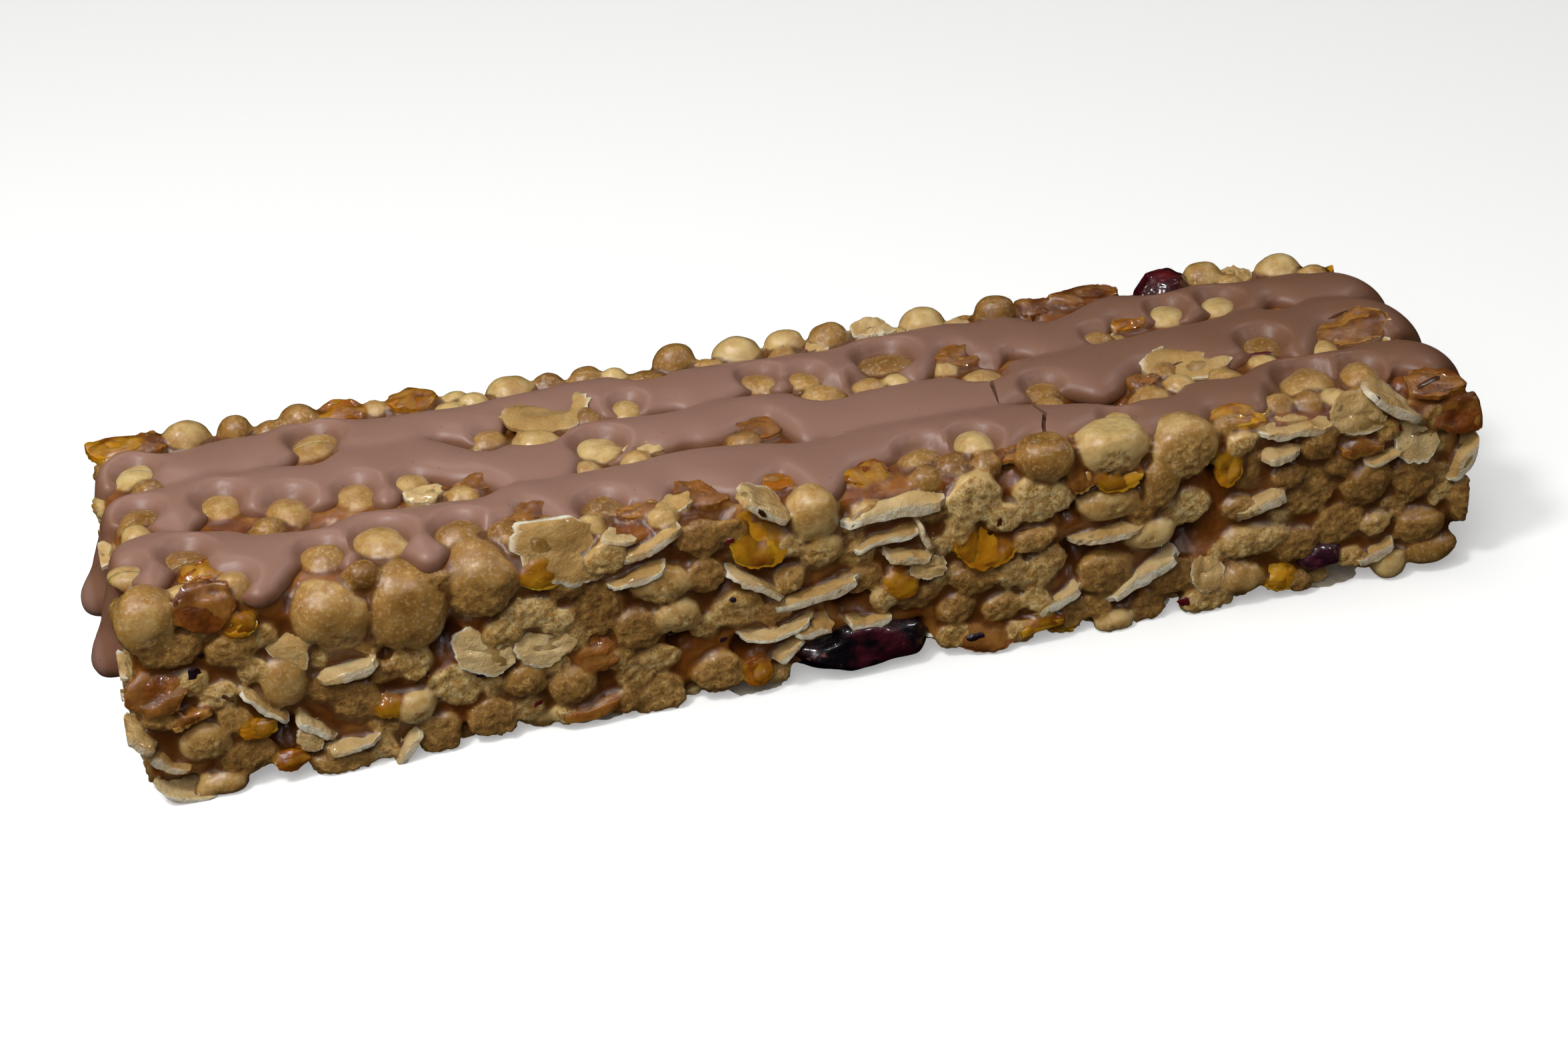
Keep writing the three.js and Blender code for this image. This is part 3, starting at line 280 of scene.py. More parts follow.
# Cracks across the icing, on its top: places from the back to the front
CRACKS = [
    [(17.7, 1.6), (17.2, 0.2), (17.5, -1.4), (17.2, -2.8), (17.0, -4.6)],
    [(19.8, -5.2), (19.3, -6.8), (19.6, -8.4), (18.9, -10.0), (18.5, -12.2)],
]


# ---------------------------------------------------------------- placing the grains


class Grain(NamedTuple):
    kind: str
    facing: int  # the axis that its face of the bar looks along
    at: np.ndarray
    size: tuple
    turn: tuple
    span: float  # the room that it takes
    thrown: bool  # whether chance put it there


def draws(seed):
    """Endless repeatable draws between 0 and 1: each state is the last one times 1664525,
    plus 1013904223, kept to 32 bits."""
    state = seed
    while True:
        state = (state * 1664525 + 1013904223) & 0xFFFFFFFF
        yield state / 4294967296


def edge_at(points, x):
    """Height of a wavy edge at x: half a cosine from each crest or hollow to the next."""
    xs, ys = np.array(points, float).T
    after = np.clip(np.searchsorted(xs, x), 1, len(xs) - 1)
    along = np.clip((x - xs[after - 1]) / (xs[after] - xs[after - 1]), 0, 1)
    return ys[after - 1] + (ys[after] - ys[after - 1]) * (1 - np.cos(np.pi * along)) / 2


def is_flake(kind):
    return kind in FLAKE_FORMS


def behind(point, axis, depth):
    """Goes on from a point along the line of sight until it is `depth` past that face."""
    sight = point - EYE
    return point + sight * depth / abs(sight[axis])


def placed(kind, facing, at, size, turn=(0, 0, 0)):
    """A grain that is given one by one. The room it takes is the cube root of the product of
    its extents, and a little more for a puff."""
    span = math.prod(size) ** (1 / 3) * (PUFF_ROOM if kind == "puff" else 1.0)
    return Grain(kind, facing, np.array(at, float), size, turn, span, False)


def front_placed(kind, x, z, width, height, tilt=0):
    """A grain of the front. Its middle lies behind the face by a share of its own size, a
    puff's deeper than a cut grain's. A flake leans back, and a sliver lies edge on."""
    face = np.array([x, -SIDE_Y, z])
    if is_flake(kind) and height < SLIVER_SHARE * width:
        at = behind(face, 1, SLIVER_DEPTH if z > LOW_LEVEL else LOW_SLIVER_DEPTH)
        reach = max(SLIVER_REACH, 0.7 * width)
        at += [0, (reach - SLIVER_REACH) / 2, 0]
        return placed(kind, 1, at, (width, reach, height), (SLIVER_ROLL, -tilt, 0))
    if is_flake(kind):
        at = behind(face, 1, 0.5 + 0.19 * height)
        return placed(kind, 1, at, (width, height, FLAKE_THICKNESS), (90 - FLAKE_LEAN, -tilt, 0))
    round_size = (width + height) / 2
    at = behind(face, 1, (0.44 if kind == "puff" else 0.24) * round_size)
    swell = PUFF_SWELL if kind == "puff" else 1.0
    return placed(kind, 1, at, (width * swell, round_size * swell, height * swell), (0, -tilt, 0))


def top_placed(kind, x, y, width):
    """A grain of the top: a flake lies nearly flat, and a puff is an upright ellipsoid,
    flatter and less sunk where icing flows round it."""
    face = np.array([x, y, GRAIN_LEVEL])
    if is_flake(kind):
        return placed(kind, 2, behind(face, 2, 0.9), (width, 0.62 * width, FLAKE_THICKNESS), (12, 0, 0))
    sunk, tall = (0.42, 0.8) if y < FRONT_MARGIN else (0.36, 0.5)
    at = behind(face, 2, sunk * width) - [0, 0, 0.3]
    width *= PUFF_SWELL
    return placed(kind, 2, at, (1.04 * width, 0.84 * width, tall * width), (0, 0, (37 * x) % 180))


def back_placed(kind, x, width, top):
    """A grain of the back edge, with its highest place at `top`."""
    depth, height = BACK_FLAKE if is_flake(kind) else (0.9 * width, 0.9 * width)
    return placed(kind, 2, (x, SIDE_Y - BACK_INSET, top - height / 2), (width, depth, height))


# The faces that are filled by chance: the axis each looks along and how far out it lies,
# the other two axes with their reach, the seed of its draws, and how much of their range
# picks a kind (the less of it, the fewer flakes)
FACES = [
    {"axis": 2, "level": GRAIN_LEVEL, "u": (0, -53, 53), "v": (1, -13, 13), "seed": 11, "flakes": 0.9},
    {"axis": 1, "level": SIDE_Y, "u": (0, -54, 54), "v": (2, 1.6, 15.4), "seed": 23, "flakes": 0.95},
    {"axis": 2, "level": 0, "u": (0, -53.5, 52), "v": (1, -12.3, 12.3), "seed": 37, "flakes": 0.95},
    {"axis": 0, "level": -END_X, "u": (1, -13, 13), "v": (2, 1.8, 15.6), "seed": 41, "flakes": 0.95},
    {"axis": 0, "level": END_X, "u": (1, -13, 13), "v": (2, 4, 14.5), "seed": 53, "flakes": 0.95},
    {"axis": 1, "level": -SIDE_Y, "u": (0, -54, 54), "v": (2, 1.2, 15.6), "seed": 67, "flakes": 0.68},
]
KIND_LIMITS = [("puff", 0.6), ("oat", 0.82), ("corn", 0.93), ("toffee", 1.0)]
TRIES_PER_GRAIN = 9

# The two rounds of filling: the sizes, what is added to the seed, how near grains may lie
# to each other as a share of both sizes, and what share of the flakes' range is left
COARSE_ROUND = ([(4.4, 5.2), (3.2, 4.2)], 0, 0.42, 1.0)
FINE_ROUND = ([(2.5, 3.1)], 500, 0.36, 0.78)
TOP_SINK, SIDE_SINK, SINK_SWING = 0.5, 0.2, 0.14  # how deep they lie, as shares of the size
LARGEST_TILT = 50  # the range in degrees of a flake's tilt both ways

ICING_MARGIN = 0.5  # no grain is thrown under the icing, or this close to its edges
FRUIT_MARGIN = 0.8
DROP_MARGIN = (0.6, 1.0)  # beside and below a drop at the left end
DROP_X = -53
PIT_MARGIN = 1.1


def kind_for(chance):
    return next(kind for kind, most in KIND_LIMITS if chance < most)


def under_icing(x, y):
    """True where a run of icing lies over a place of the top."""
    return any(
        edge_at(run["front"], x) - ICING_MARGIN < y < edge_at(run["back"], x) + ICING_MARGIN for run in RUNS
    )


def in_pit(grain):
    """True where a grain would fill an open pit of its own face."""
    for (axis, side), u, v, radius, _depth in PITS:
        if grain.facing != axis or side * grain.at[axis] < 1:
            continue
        if math.hypot(grain.at[0] - u, grain.at[3 - axis] - v) < radius + PIT_MARGIN:
            return True
    return False


def covered(at):
    """True where a dried fruit, or a drop of icing at the left end, takes the room."""
    for middle, half, _turn in FRUITS.values():
        if np.linalg.norm((at - middle) / (np.array(half) + FRUIT_MARGIN)) < 1:
            return True
    beside, below = DROP_MARGIN
    return at[0] <= DROP_X and any(
        run["front"][0][1] - beside < at[1] < run["back"][0][1] + beside
        and at[2] > ICING_FLOOR - run["drop"][0] - below
        for run in RUNS
    )


def fill_face(face, grains, sizes, seed_shift, room, flake_share):
    """Throws grains at a face, the largest sizes first, and keeps each one whose middle
    is further from every other than a share of the two sizes together."""
    draw = draws(seed_shift + face["seed"])
    level = face["level"]
    upper = level == GRAIN_LEVEL
    sunk = TOP_SINK if upper else SIDE_SINK
    (u_axis, u_low, u_high), (v_axis, v_low, v_high) = face["u"], face["v"]
    places = np.array([grain.at for grain in grains])
    spans = np.array([grain.span for grain in grains])
    for least, most in sizes:
        area = (u_high - u_low) * (v_high - v_low)
        for _ in range(round(TRIES_PER_GRAIN * area / least**2)):
            size = least + (most - least) * next(draw)
            kind = kind_for(next(draw) * flake_share * face["flakes"])
            at = np.zeros(3)
            at[u_axis] = u_low + (u_high - u_low) * next(draw)
            at[v_axis] = v_low + (v_high - v_low) * next(draw)
            inset = size * (sunk + SINK_SWING * next(draw))
            at[face["axis"]] = level - inset if level > 1 else level + inset
            turn = (LARGEST_TILT * (next(draw) - 0.5), LARGEST_TILT * (next(draw) - 0.5), 360 * next(draw))
            if upper and under_icing(at[0], at[1]) or covered(at):
                continue
            if np.any(np.linalg.norm(places - at, axis=1) <= room * (size + spans)):
                continue
            extents = (1.1 * size, 0.9 * size, FLAKE_THICKNESS)
            if not is_flake(kind):
                extents, turn = (size, 0.92 * size, 0.84 * size), (0, 0, 0)
            grains.append(Grain(kind, face["axis"], at, extents, turn, size, True))
            places = np.vstack([places, at])
            spans = np.append(spans, size)


def all_grains():
    """The coarse and the fine grains. The last listed one carries the bar's middle."""
    grains = [front_placed(*row) for row in FRONT_GRAINS]
    grains += [top_placed(*row) for row in TOP_GRAINS]
    grains += [back_placed(*row) for row in BACK_GRAINS]
    grains.append(placed("puff", 2, (0, 0, 1.1), (5.2, 5, 5)))
    for face in FACES:
        fill_face(face, grains, *COARSE_ROUND)
    coarse = len(grains)
    for face in FACES:
        fill_face(face, grains, *FINE_ROUND)
    kept = [grain for grain in grains[:coarse] if not (grain.thrown and in_pit(grain))]
    return kept, [grain for grain in grains[coarse:] if not in_pit(grain)]


# ---------------------------------------------------------------- surfaces


def lattice(nx, ny, nz):
    """The skin of a block of nx by ny by nz cells: its points from -1 to 1 on each axis,
    shared by neighbouring cells, and its quads, which face outwards."""
    shape = np.array([nx, ny, nz])
    index = np.full(shape + 1, -1)
    grid = np.indices(shape + 1)
    skin = np.any((grid == 0) | (grid == shape[:, None, None, None]), axis=0)
    index[skin] = np.arange(skin.sum())
    points = np.argwhere(skin) / shape * 2.0 - 1.0
    quads = []
    for axis in range(3):
        layers = np.moveaxis(index, axis, 0)
        for layer, low in ((layers[0], True), (layers[-1], False)):
            quad = np.stack([layer[:-1, :-1], layer[1:, :-1], layer[1:, 1:], layer[:-1, 1:]], -1)
            quad = quad.reshape(-1, 4)
            quads.append(quad[:, ::-1] if (axis == 1) != low else quad)
    return points, np.vstack(quads)


def ball(cells):
    """Directions spread evenly over a sphere: the skin of a cube whose places are bent by
    a tangent and then drawn to length 1."""
    points, quads = lattice(cells, cells, cells)
    bent = np.tan(points * np.pi / 4)
    return bent / np.linalg.norm(bent, axis=1, keepdims=True), quads


def disc(long_cells, wide_cells):
    """A thick disc: the skin of a slab whose square outline is pressed to a circle, each
    way shortened by the square of the other."""
    points, quads = lattice(long_cells, wide_cells, 1)
    u, v, w = points.T
    return np.stack([u * np.sqrt(1 - v**2 / 2), v * np.sqrt(1 - u**2 / 2), w], 1), quads


def waves(at, count, rng, pitch, runs=5):
    """Slow swell from -1 to 1: the mean of sine waves in random directions, `pitch`
    radians long for each unit of `at`, with other waves for each of `count` grains."""
    at = np.broadcast_to(at, (count, *at.shape[-2:]))
    run = rng.normal(size=(count, runs, 3)) * pitch
    phase = rng.uniform(0, 2 * np.pi, (count, 1, runs))
    return np.sin(np.einsum("gvc,gkc->gvk", at, run) + phase).mean(axis=2) * 1.6


def wander(points, size, rng, runs=9):
    """Cloudy relief from about -1 to 1 over the whole bar: the mean of sine waves in
    random directions, each about `size` millimetres long."""
    way = rng.normal(size=(runs, 3))
    way *= 2 * np.pi / size * rng.uniform(0.7, 1.4, (runs, 1)) / np.linalg.norm(way, axis=1, keepdims=True)
    return np.sin(points @ way.T + rng.uniform(0, 2 * np.pi, runs)).mean(axis=-1) * 2


def turned(points, turns):
    """Turns each grain's points about x, then y, then z, by its own degrees."""
    angle = np.radians(np.asarray(turns, float))
    for axis in range(3):
        cos, sin = np.cos(angle[:, axis, None]), np.sin(angle[:, axis, None])
        a, b = (axis + 1) % 3, (axis + 2) % 3
        old_a, old_b = points[..., a].copy(), points[..., b].copy()
        points[..., a] = cos * old_a - sin * old_b
        points[..., b] = sin * old_a + cos * old_b
    return points


def smooth_step(value, low, high):
    """0 up to low, 1 from high, and between them 3 squares less 2 cubes of the way."""
    share = np.clip((value - low) / (high - low), 0, 1)
    return share * share * (3 - 2 * share)


def floor_at(x):
    """The bar's underside, which rises as a square towards the corners of both ends: from
    x = 50 over 6 to the right, and from x = -54.4 over 2.4 to the left."""
    past = np.maximum(0, np.maximum((x - 50) / 6, (-54.4 - x) / 2.4))
    return 3.4 * past**2


def top_at(x):
    """The bar's upper limit: flat, and a quarter circle down at each end."""
    right_bend, left_bend = 4.5, 1.8
    bend = np.where(x > 0, right_bend, left_bend)
    past = np.maximum(0, np.abs(x) - (END_X - bend))
    return TOP_Z - bend + np.sqrt(np.maximum(bend**2 - past**2, 0))


def held(inside, least, ease):
    """Holds a distance above `least`, with a round turn: half the sum of what is past it
    and the root of its square and the square of `ease`."""
    past = inside - least
    return least + (past + np.sqrt(past**2 + ease**2)) / 2


def trimmed(points, shave, ease=1.0):
    """Slices off what sticks out of the bar: each place is held within its sides, over its
    underside and under its upper limit. Also gives how far each one was moved in, other
    than by the upper limit."""
    cut = points.copy()
    moved = np.zeros(points.shape[:-1])
    for axis, side in ((0, END_X), (1, SIDE_Y)):
        inside = side - np.abs(points[..., axis])
        kept = held(inside, shave, ease)
        cut[..., axis] = np.sign(points[..., axis]) * (side - kept)
        moved = np.maximum(moved, kept - inside)
    underside = floor_at(cut[..., 0])
    floor_ease = 0.3
    cut[..., 2] = held(points[..., 2] - underside, 0, floor_ease) + underside
    moved = np.maximum(moved, cut[..., 2] - points[..., 2])
    cut[..., 2] = np.minimum(cut[..., 2], top_at(cut[..., 0]))
    return cut, moved


def column(grains, name):
    return np.array([getattr(grain, name) for grain in grains], float)


def on_top(grain):
    return grain.facing == 2 and grain.at[2] > TOP_Z / 2


def outward(grains):
    """The direction that each grain's side of the bar looks in."""
    out = np.zeros((len(grains), 3))
    for row, grain in zip(out, grains):
        up = on_top(grain) if grain.facing == 2 else grain.at[grain.facing] > 0
        row[grain.facing] = 1 if up else -1
    return out


def puffs(grains, cells, rng, opened):
    """Puffed rice. Each direction of a ball times the half sizes, swollen and dented by
    slow waves, half as much on a closed grain, with a shallow crease on one side: a dip
    that fades with the distance from a plane through the middle. `opened` (one for each
    grain) says how much of the outer side is torn open, where the radius is less. Gives
    the foam there as well."""
    direction, quads = ball(cells)
    count = len(grains)
    lump = 0.15 * waves(direction, count, rng, 1.7) + 0.08 * waves(direction, count, rng, 4.0)
    lump = 1.02 + lump * np.where(opened > 0.6, 1.0, 0.5)
    crease = rng.normal(size=(count, 3))
    crease /= np.linalg.norm(crease, axis=1, keepdims=True)
    off = np.einsum("vc,gc->gv", direction, crease)
    side = np.einsum("vc,gc->gv", direction, np.roll(crease, 1, axis=1))
    lump -= 0.10 * np.exp(-((off / 0.16) ** 2)) * smooth_step(side, 0.1, 0.8)
    faced = outward(grains) + [0, 0, -0.45]
    toward = np.einsum("vc,gc->gv", direction, faced) + 0.22 * waves(direction, count, rng, 3.0)
    foam = smooth_step(toward, 1 - opened, 1.3 - opened)
    lump -= 0.12 * foam
    half = column(grains, "size")[:, None, :] / 2
    points = turned(direction * half * lump[..., None], column(grains, "turn"))
    return points + column(grains, "at")[:, None, :], quads, foam


def flakes(grains, cells, rng, ragged, crumple, cleft, film):
    """Flakes. A thick disc times the half sizes. Its rim goes in and out with the angle
    and is broken off straight on one side, its faces bend as a saddle and crumple in
    waves, and it thins as a cube towards the rim. An oat also has a narrow cleft along
    its middle. Gives the flakes, the patchy coat of syrup round them, which is the same
    but `film` (mean and swing) millimetres thicker in waves, their quads, and where their
    rims are torn."""
    points, quads = disc(*cells)
    x, y, w = points.T
    count = len(grains)
    across = np.hypot(x, y)
    around = np.stack([x, y, np.zeros_like(x)], 1) / np.maximum(across, 1e-6)[:, None]
    torn = waves(around, count, rng, 1.6)
    torn = torn + 0.7 * waves(around, count, rng, 5.0) + 0.7 * waves(around, count, rng, 14.0)
    white = (across > 0.97) * smooth_step(waves(around, count, rng, 1.5), -0.8, 0.3)
    rim = 1.08 + ragged * torn * across**2
    x, y = x * rim, y * rim
    heading = rng.uniform(0, 2 * np.pi, (count, 1))
    thrown = column(grains, "thrown")[:, None]
    break_at = rng.uniform(0.8 - 0.3 * thrown, 1.3 - 0.2 * thrown) + 0.06 * waves(around, count, rng, 12.0)
    reach = x * np.cos(heading) + y * np.sin(heading)
    over = np.maximum(reach - break_at, 0)
    x, y = x - over * np.cos(heading), y - over * np.sin(heading)
    half = column(grains, "size")[:, None, :] / 2
    width, depth, thick = half[..., 0], half[..., 1], 0.62 * half[..., 2]
    flat = np.stack([x, y, np.zeros_like(x)], -1)
    curl = rng.uniform(-0.16, 0.16, (count, 2, 1))
    rise = width * (curl[:, 0] * x**2 + curl[:, 1] * x * y) + crumple * waves(flat, count, rng, 2.6)
    rise = rise + 0.4 * crumple * waves(flat, count, rng, 6.5)
    level = thick * (1 - 0.5 * np.minimum(across, 1) ** 3) * (1 + 0.3 * waves(flat, count, rng, 5.0))
    level = level - cleft * np.exp(-((y / 0.13) ** 2)) * smooth_step(-np.abs(x), -0.75, -0.4)
    syrup = film[0] + film[1] * waves(flat, count, rng, 3.5)
    made = []
    for height in (level, level + syrup):
        points = turned(np.stack([x * width, y * depth, w * height + rise], -1), column(grains, "turn"))
        made.append(points + column(grains, "at")[:, None, :])
    return *made, quads, white


def mesh_object(name, points, quads, attributes=()):
    """One mesh of all copies: `points` is (copies, points, 3) or (points, 3) in
    millimetres, and every copy has the same quads."""
    points = np.asarray(points, float)
    copies = points[None] if points.ndim == 2 else points
    count, size = copies.shape[:2]
    faces = (quads[None] + (np.arange(count) * size)[:, None, None]).reshape(-1, quads.shape[1])
    mesh = bpy.data.meshes.new(name)
    mesh.from_pydata((copies.reshape(-1, 3) * MM).tolist(), [], faces.tolist())
    for key, values in dict(attributes).items():
        note(mesh, key, np.broadcast_to(values, (count, size)))
    mesh.polygons.foreach_set("use_smooth", np.ones(len(mesh.polygons), bool))
    return linked(bpy.data.objects.new(name, mesh))


def linked(piece):
    bpy.context.scene.collection.objects.link(piece)
    return piece


def note(mesh, name, values):
    """Keeps a number for every point of a mesh, for its finish to read."""
    flat = np.asarray(values, np.float32).ravel()
    mesh.attributes.new(name, "FLOAT", "POINT").data.foreach_set("value", flat)


def places(mesh, of="co"):
    """The points of a mesh in millimetres, or their normals."""
    found = np.empty(len(mesh.vertices) * 3, np.float32)
    if of == "co":
        mesh.vertices.foreach_get("co", found)
        return found.reshape(-1, 3).astype(float) / MM
    mesh.vertex_normals.foreach_get("vector", found)
    return found.reshape(-1, 3).astype(float)


def move_to(mesh, at):
    """Moves the points of a mesh to places in millimetres."""
    mesh.vertices.foreach_set("co", (at * MM).astype(np.float32).ravel())


def modified(piece, name, kind, **settings):
    """Adds a modifier to a piece."""
    modifier = piece.modifiers.new(name, kind)
    for setting, value in settings.items():
        setattr(modifier, setting, value)
    return piece


def settled(piece):
    """Applies the modifiers of a piece."""
    depsgraph = bpy.context.evaluated_depsgraph_get()
    done = bpy.data.meshes.new_from_object(piece.evaluated_get(depsgraph))
    piece.modifiers.clear()
    piece.data = done
    return piece


def melted(piece, voxel):
    """Melts overlapping parts into one skin of even quads."""
    settings = {"mode": "VOXEL", "voxel_size": voxel * MM, "use_smooth_shade": True}
    return settled(modified(piece, "Melt", "REMESH", **settings))


def eased(piece, times):
    """Smooths a skin, which leaves a fillet in each corner between melted parts."""
    return settled(modified(piece, "Ease", "SMOOTH", factor=0.5, iterations=times))


def crisp(piece, degrees=50):
    piece.data.set_sharp_from_angle(angle=math.radians(degrees))


def carved(piece, tool, operation):
    """Cuts a piece with a closed tool, or keeps what lies inside it."""
    settled(modified(piece, "Cut", "BOOLEAN", operation=operation, solver="MANIFOLD", object=tool))
    piece.data.polygons.foreach_set("material_index", np.zeros(len(piece.data.polygons), np.int32))
    bpy.data.objects.remove(tool)
    return piece


def dress(piece, node, material):
    """Gives a piece its finish and its place in the part."""
    piece.data.materials.clear()
    piece.data.materials.append(material)
    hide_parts(node)
    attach(piece, "root")


# ---------------------------------------------------------------- finishes


def colour(code):
    """A linear colour from its six hex digits."""
    parts = np.array([int(code[i:i + 2], 16) / 255 for i in (0, 2, 4)])
    linear = np.where(parts <= 0.04045, parts / 12.92, ((parts + 0.055) / 1.055) ** 2.4)
    return (*linear.tolist(), 1.0)


def glow(size):
    """Light that wanders in a grain: how far the red, green and blue go, in metres."""
    return {"Subsurface_Radius": (size * MM, 0.55 * size * MM, 0.25 * size * MM), "Subsurface_Scale": 1.0}


class Finish:
    """A new material with its shader, and short ways to add the nodes it needs."""

    def __init__(self, name, **sockets):
        self.material = bpy.data.materials.new(name)
        self.material.use_nodes = True
        self.nodes = self.material.node_tree.nodes
        self.links = self.material.node_tree.links
        self.shader = self.nodes["Principled BSDF"]
        for socket, value in sockets.items():
            self.shader.inputs[socket.replace("_", " ")].default_value = value
        self.place = self.nodes.new("ShaderNodeTexCoord").outputs["Object"]

    def put(self, socket, value):
        if isinstance(value, bpy.types.NodeSocket):
            self.links.new(value, socket)
        else:
            socket.default_value = value

    def set(self, socket, value):
        self.put(self.shader.inputs[socket], value)

    def value(self, name):
        node = self.nodes.new("ShaderNodeAttribute")
        node.attribute_name = name
        return node.outputs["Fac"]

    def axes(self):
        node = self.nodes.new("ShaderNodeSeparateXYZ")
        self.put(node.inputs[0], self.place)
        return node.outputs

    def math(self, operation, a, b=0.0):
        node = self.nodes.new("ShaderNodeMath")
        node.operation = operation
        self.put(node.inputs[0], a)
        self.put(node.inputs[1], b)
        return node.outputs[0]

    def blend(self, a, share_a, b, share_b):
        """The sum of two values, each times its own share."""
        return self.math("ADD", self.math("MULTIPLY", a, share_a), self.math("MULTIPLY", b, share_b))

    def spread(self, value, low, high, start=0.0, end=1.0):
        """Maps low..high to start..end, held at both, with a soft turn at each."""
        node = self.nodes.new("ShaderNodeMapRange")
        node.interpolation_type = "SMOOTHSTEP"
        self.put(node.inputs["Value"], value)
        for socket, number in (("From Min", low), ("From Max", high), ("To Min", start), ("To Max", end)):
            node.inputs[socket].default_value = number
        return node.outputs["Result"]

    def noise(self, size, detail=4.0, roughness=0.6):
        """Cloudy noise with patches of about `size` millimetres."""
        node = self.nodes.new("ShaderNodeTexNoise")
        self.put(node.inputs["Vector"], self.place)
        node.inputs["Scale"].default_value = 0.5 / (size * MM)
        node.inputs["Detail"].default_value = detail
        node.inputs["Roughness"].default_value = roughness
        return node.outputs["Fac"]

    def cells(self, size):
        """Cells of about `size` millimetres: the distance from each cell's own point."""
        node = self.nodes.new("ShaderNodeTexVoronoi")
        self.put(node.inputs["Vector"], self.place)
        node.inputs["Scale"].default_value = 1 / (size * MM)
        return node.outputs["Distance"]

    def ramp(self, value, *stops):
        node = self.nodes.new("ShaderNodeValToRGB")
        self.put(node.inputs["Fac"], value)
        ramp = node.color_ramp
        while len(ramp.elements) < len(stops):
            ramp.elements.new(0.5)
        for element, (position, code) in zip(ramp.elements, stops):
            element.position = position
            element.color = colour(code)
        return node.outputs["Color"]

    def mix(self, share, a, b):
        node = self.nodes.new("ShaderNodeMix")
        node.data_type = "RGBA"
        self.put(node.inputs["Factor"], share)
        for socket, value in ((node.inputs[6], a), (node.inputs[7], b)):
            self.put(socket, colour(value) if isinstance(value, str) else value)
        return node.outputs[2]

    def bump(self, height, depth, normal=None, strength=1.0):
        """Relief from a height of 0 to 1 that stands for `depth` millimetres."""
        node = self.nodes.new("ShaderNodeBump")
        self.put(node.inputs["Height"], height)
        node.inputs["Distance"].default_value = depth * MM
        self.put(node.inputs["Strength"], strength)
        if normal is not None:
            self.put(node.inputs["Normal"], normal)
        return node.outputs["Normal"]

    def inset(self):
        """How far a place lies inside the bar's outline, in millimetres: the least of its
        distances to the sides, the ends, the level of the grains and the floor."""
        x, y, z = self.axes()
        to_side = self.math("SUBTRACT", SIDE_Y * MM, self.math("ABSOLUTE", y))
        to_end = self.math("SUBTRACT", END_X * MM, self.math("ABSOLUTE", x))
        to_top = self.math("SUBTRACT", GRAIN_LEVEL * MM, z)
        least = self.math("MINIMUM", self.math("MINIMUM", to_side, to_end), self.math("MINIMUM", to_top, z))
        return self.math("MULTIPLY", least, 1 / MM)

    def shaded(self, base, nearest, deepest, tint):
        """Paints shade: darkens a colour towards `tint`, the shade colour, between two depths
        inside the bar's outline, as the shade deep between the grains.
        """
        return self.mix(self.spread(self.inset(), nearest, deepest, 0, 0.7), base, tint)


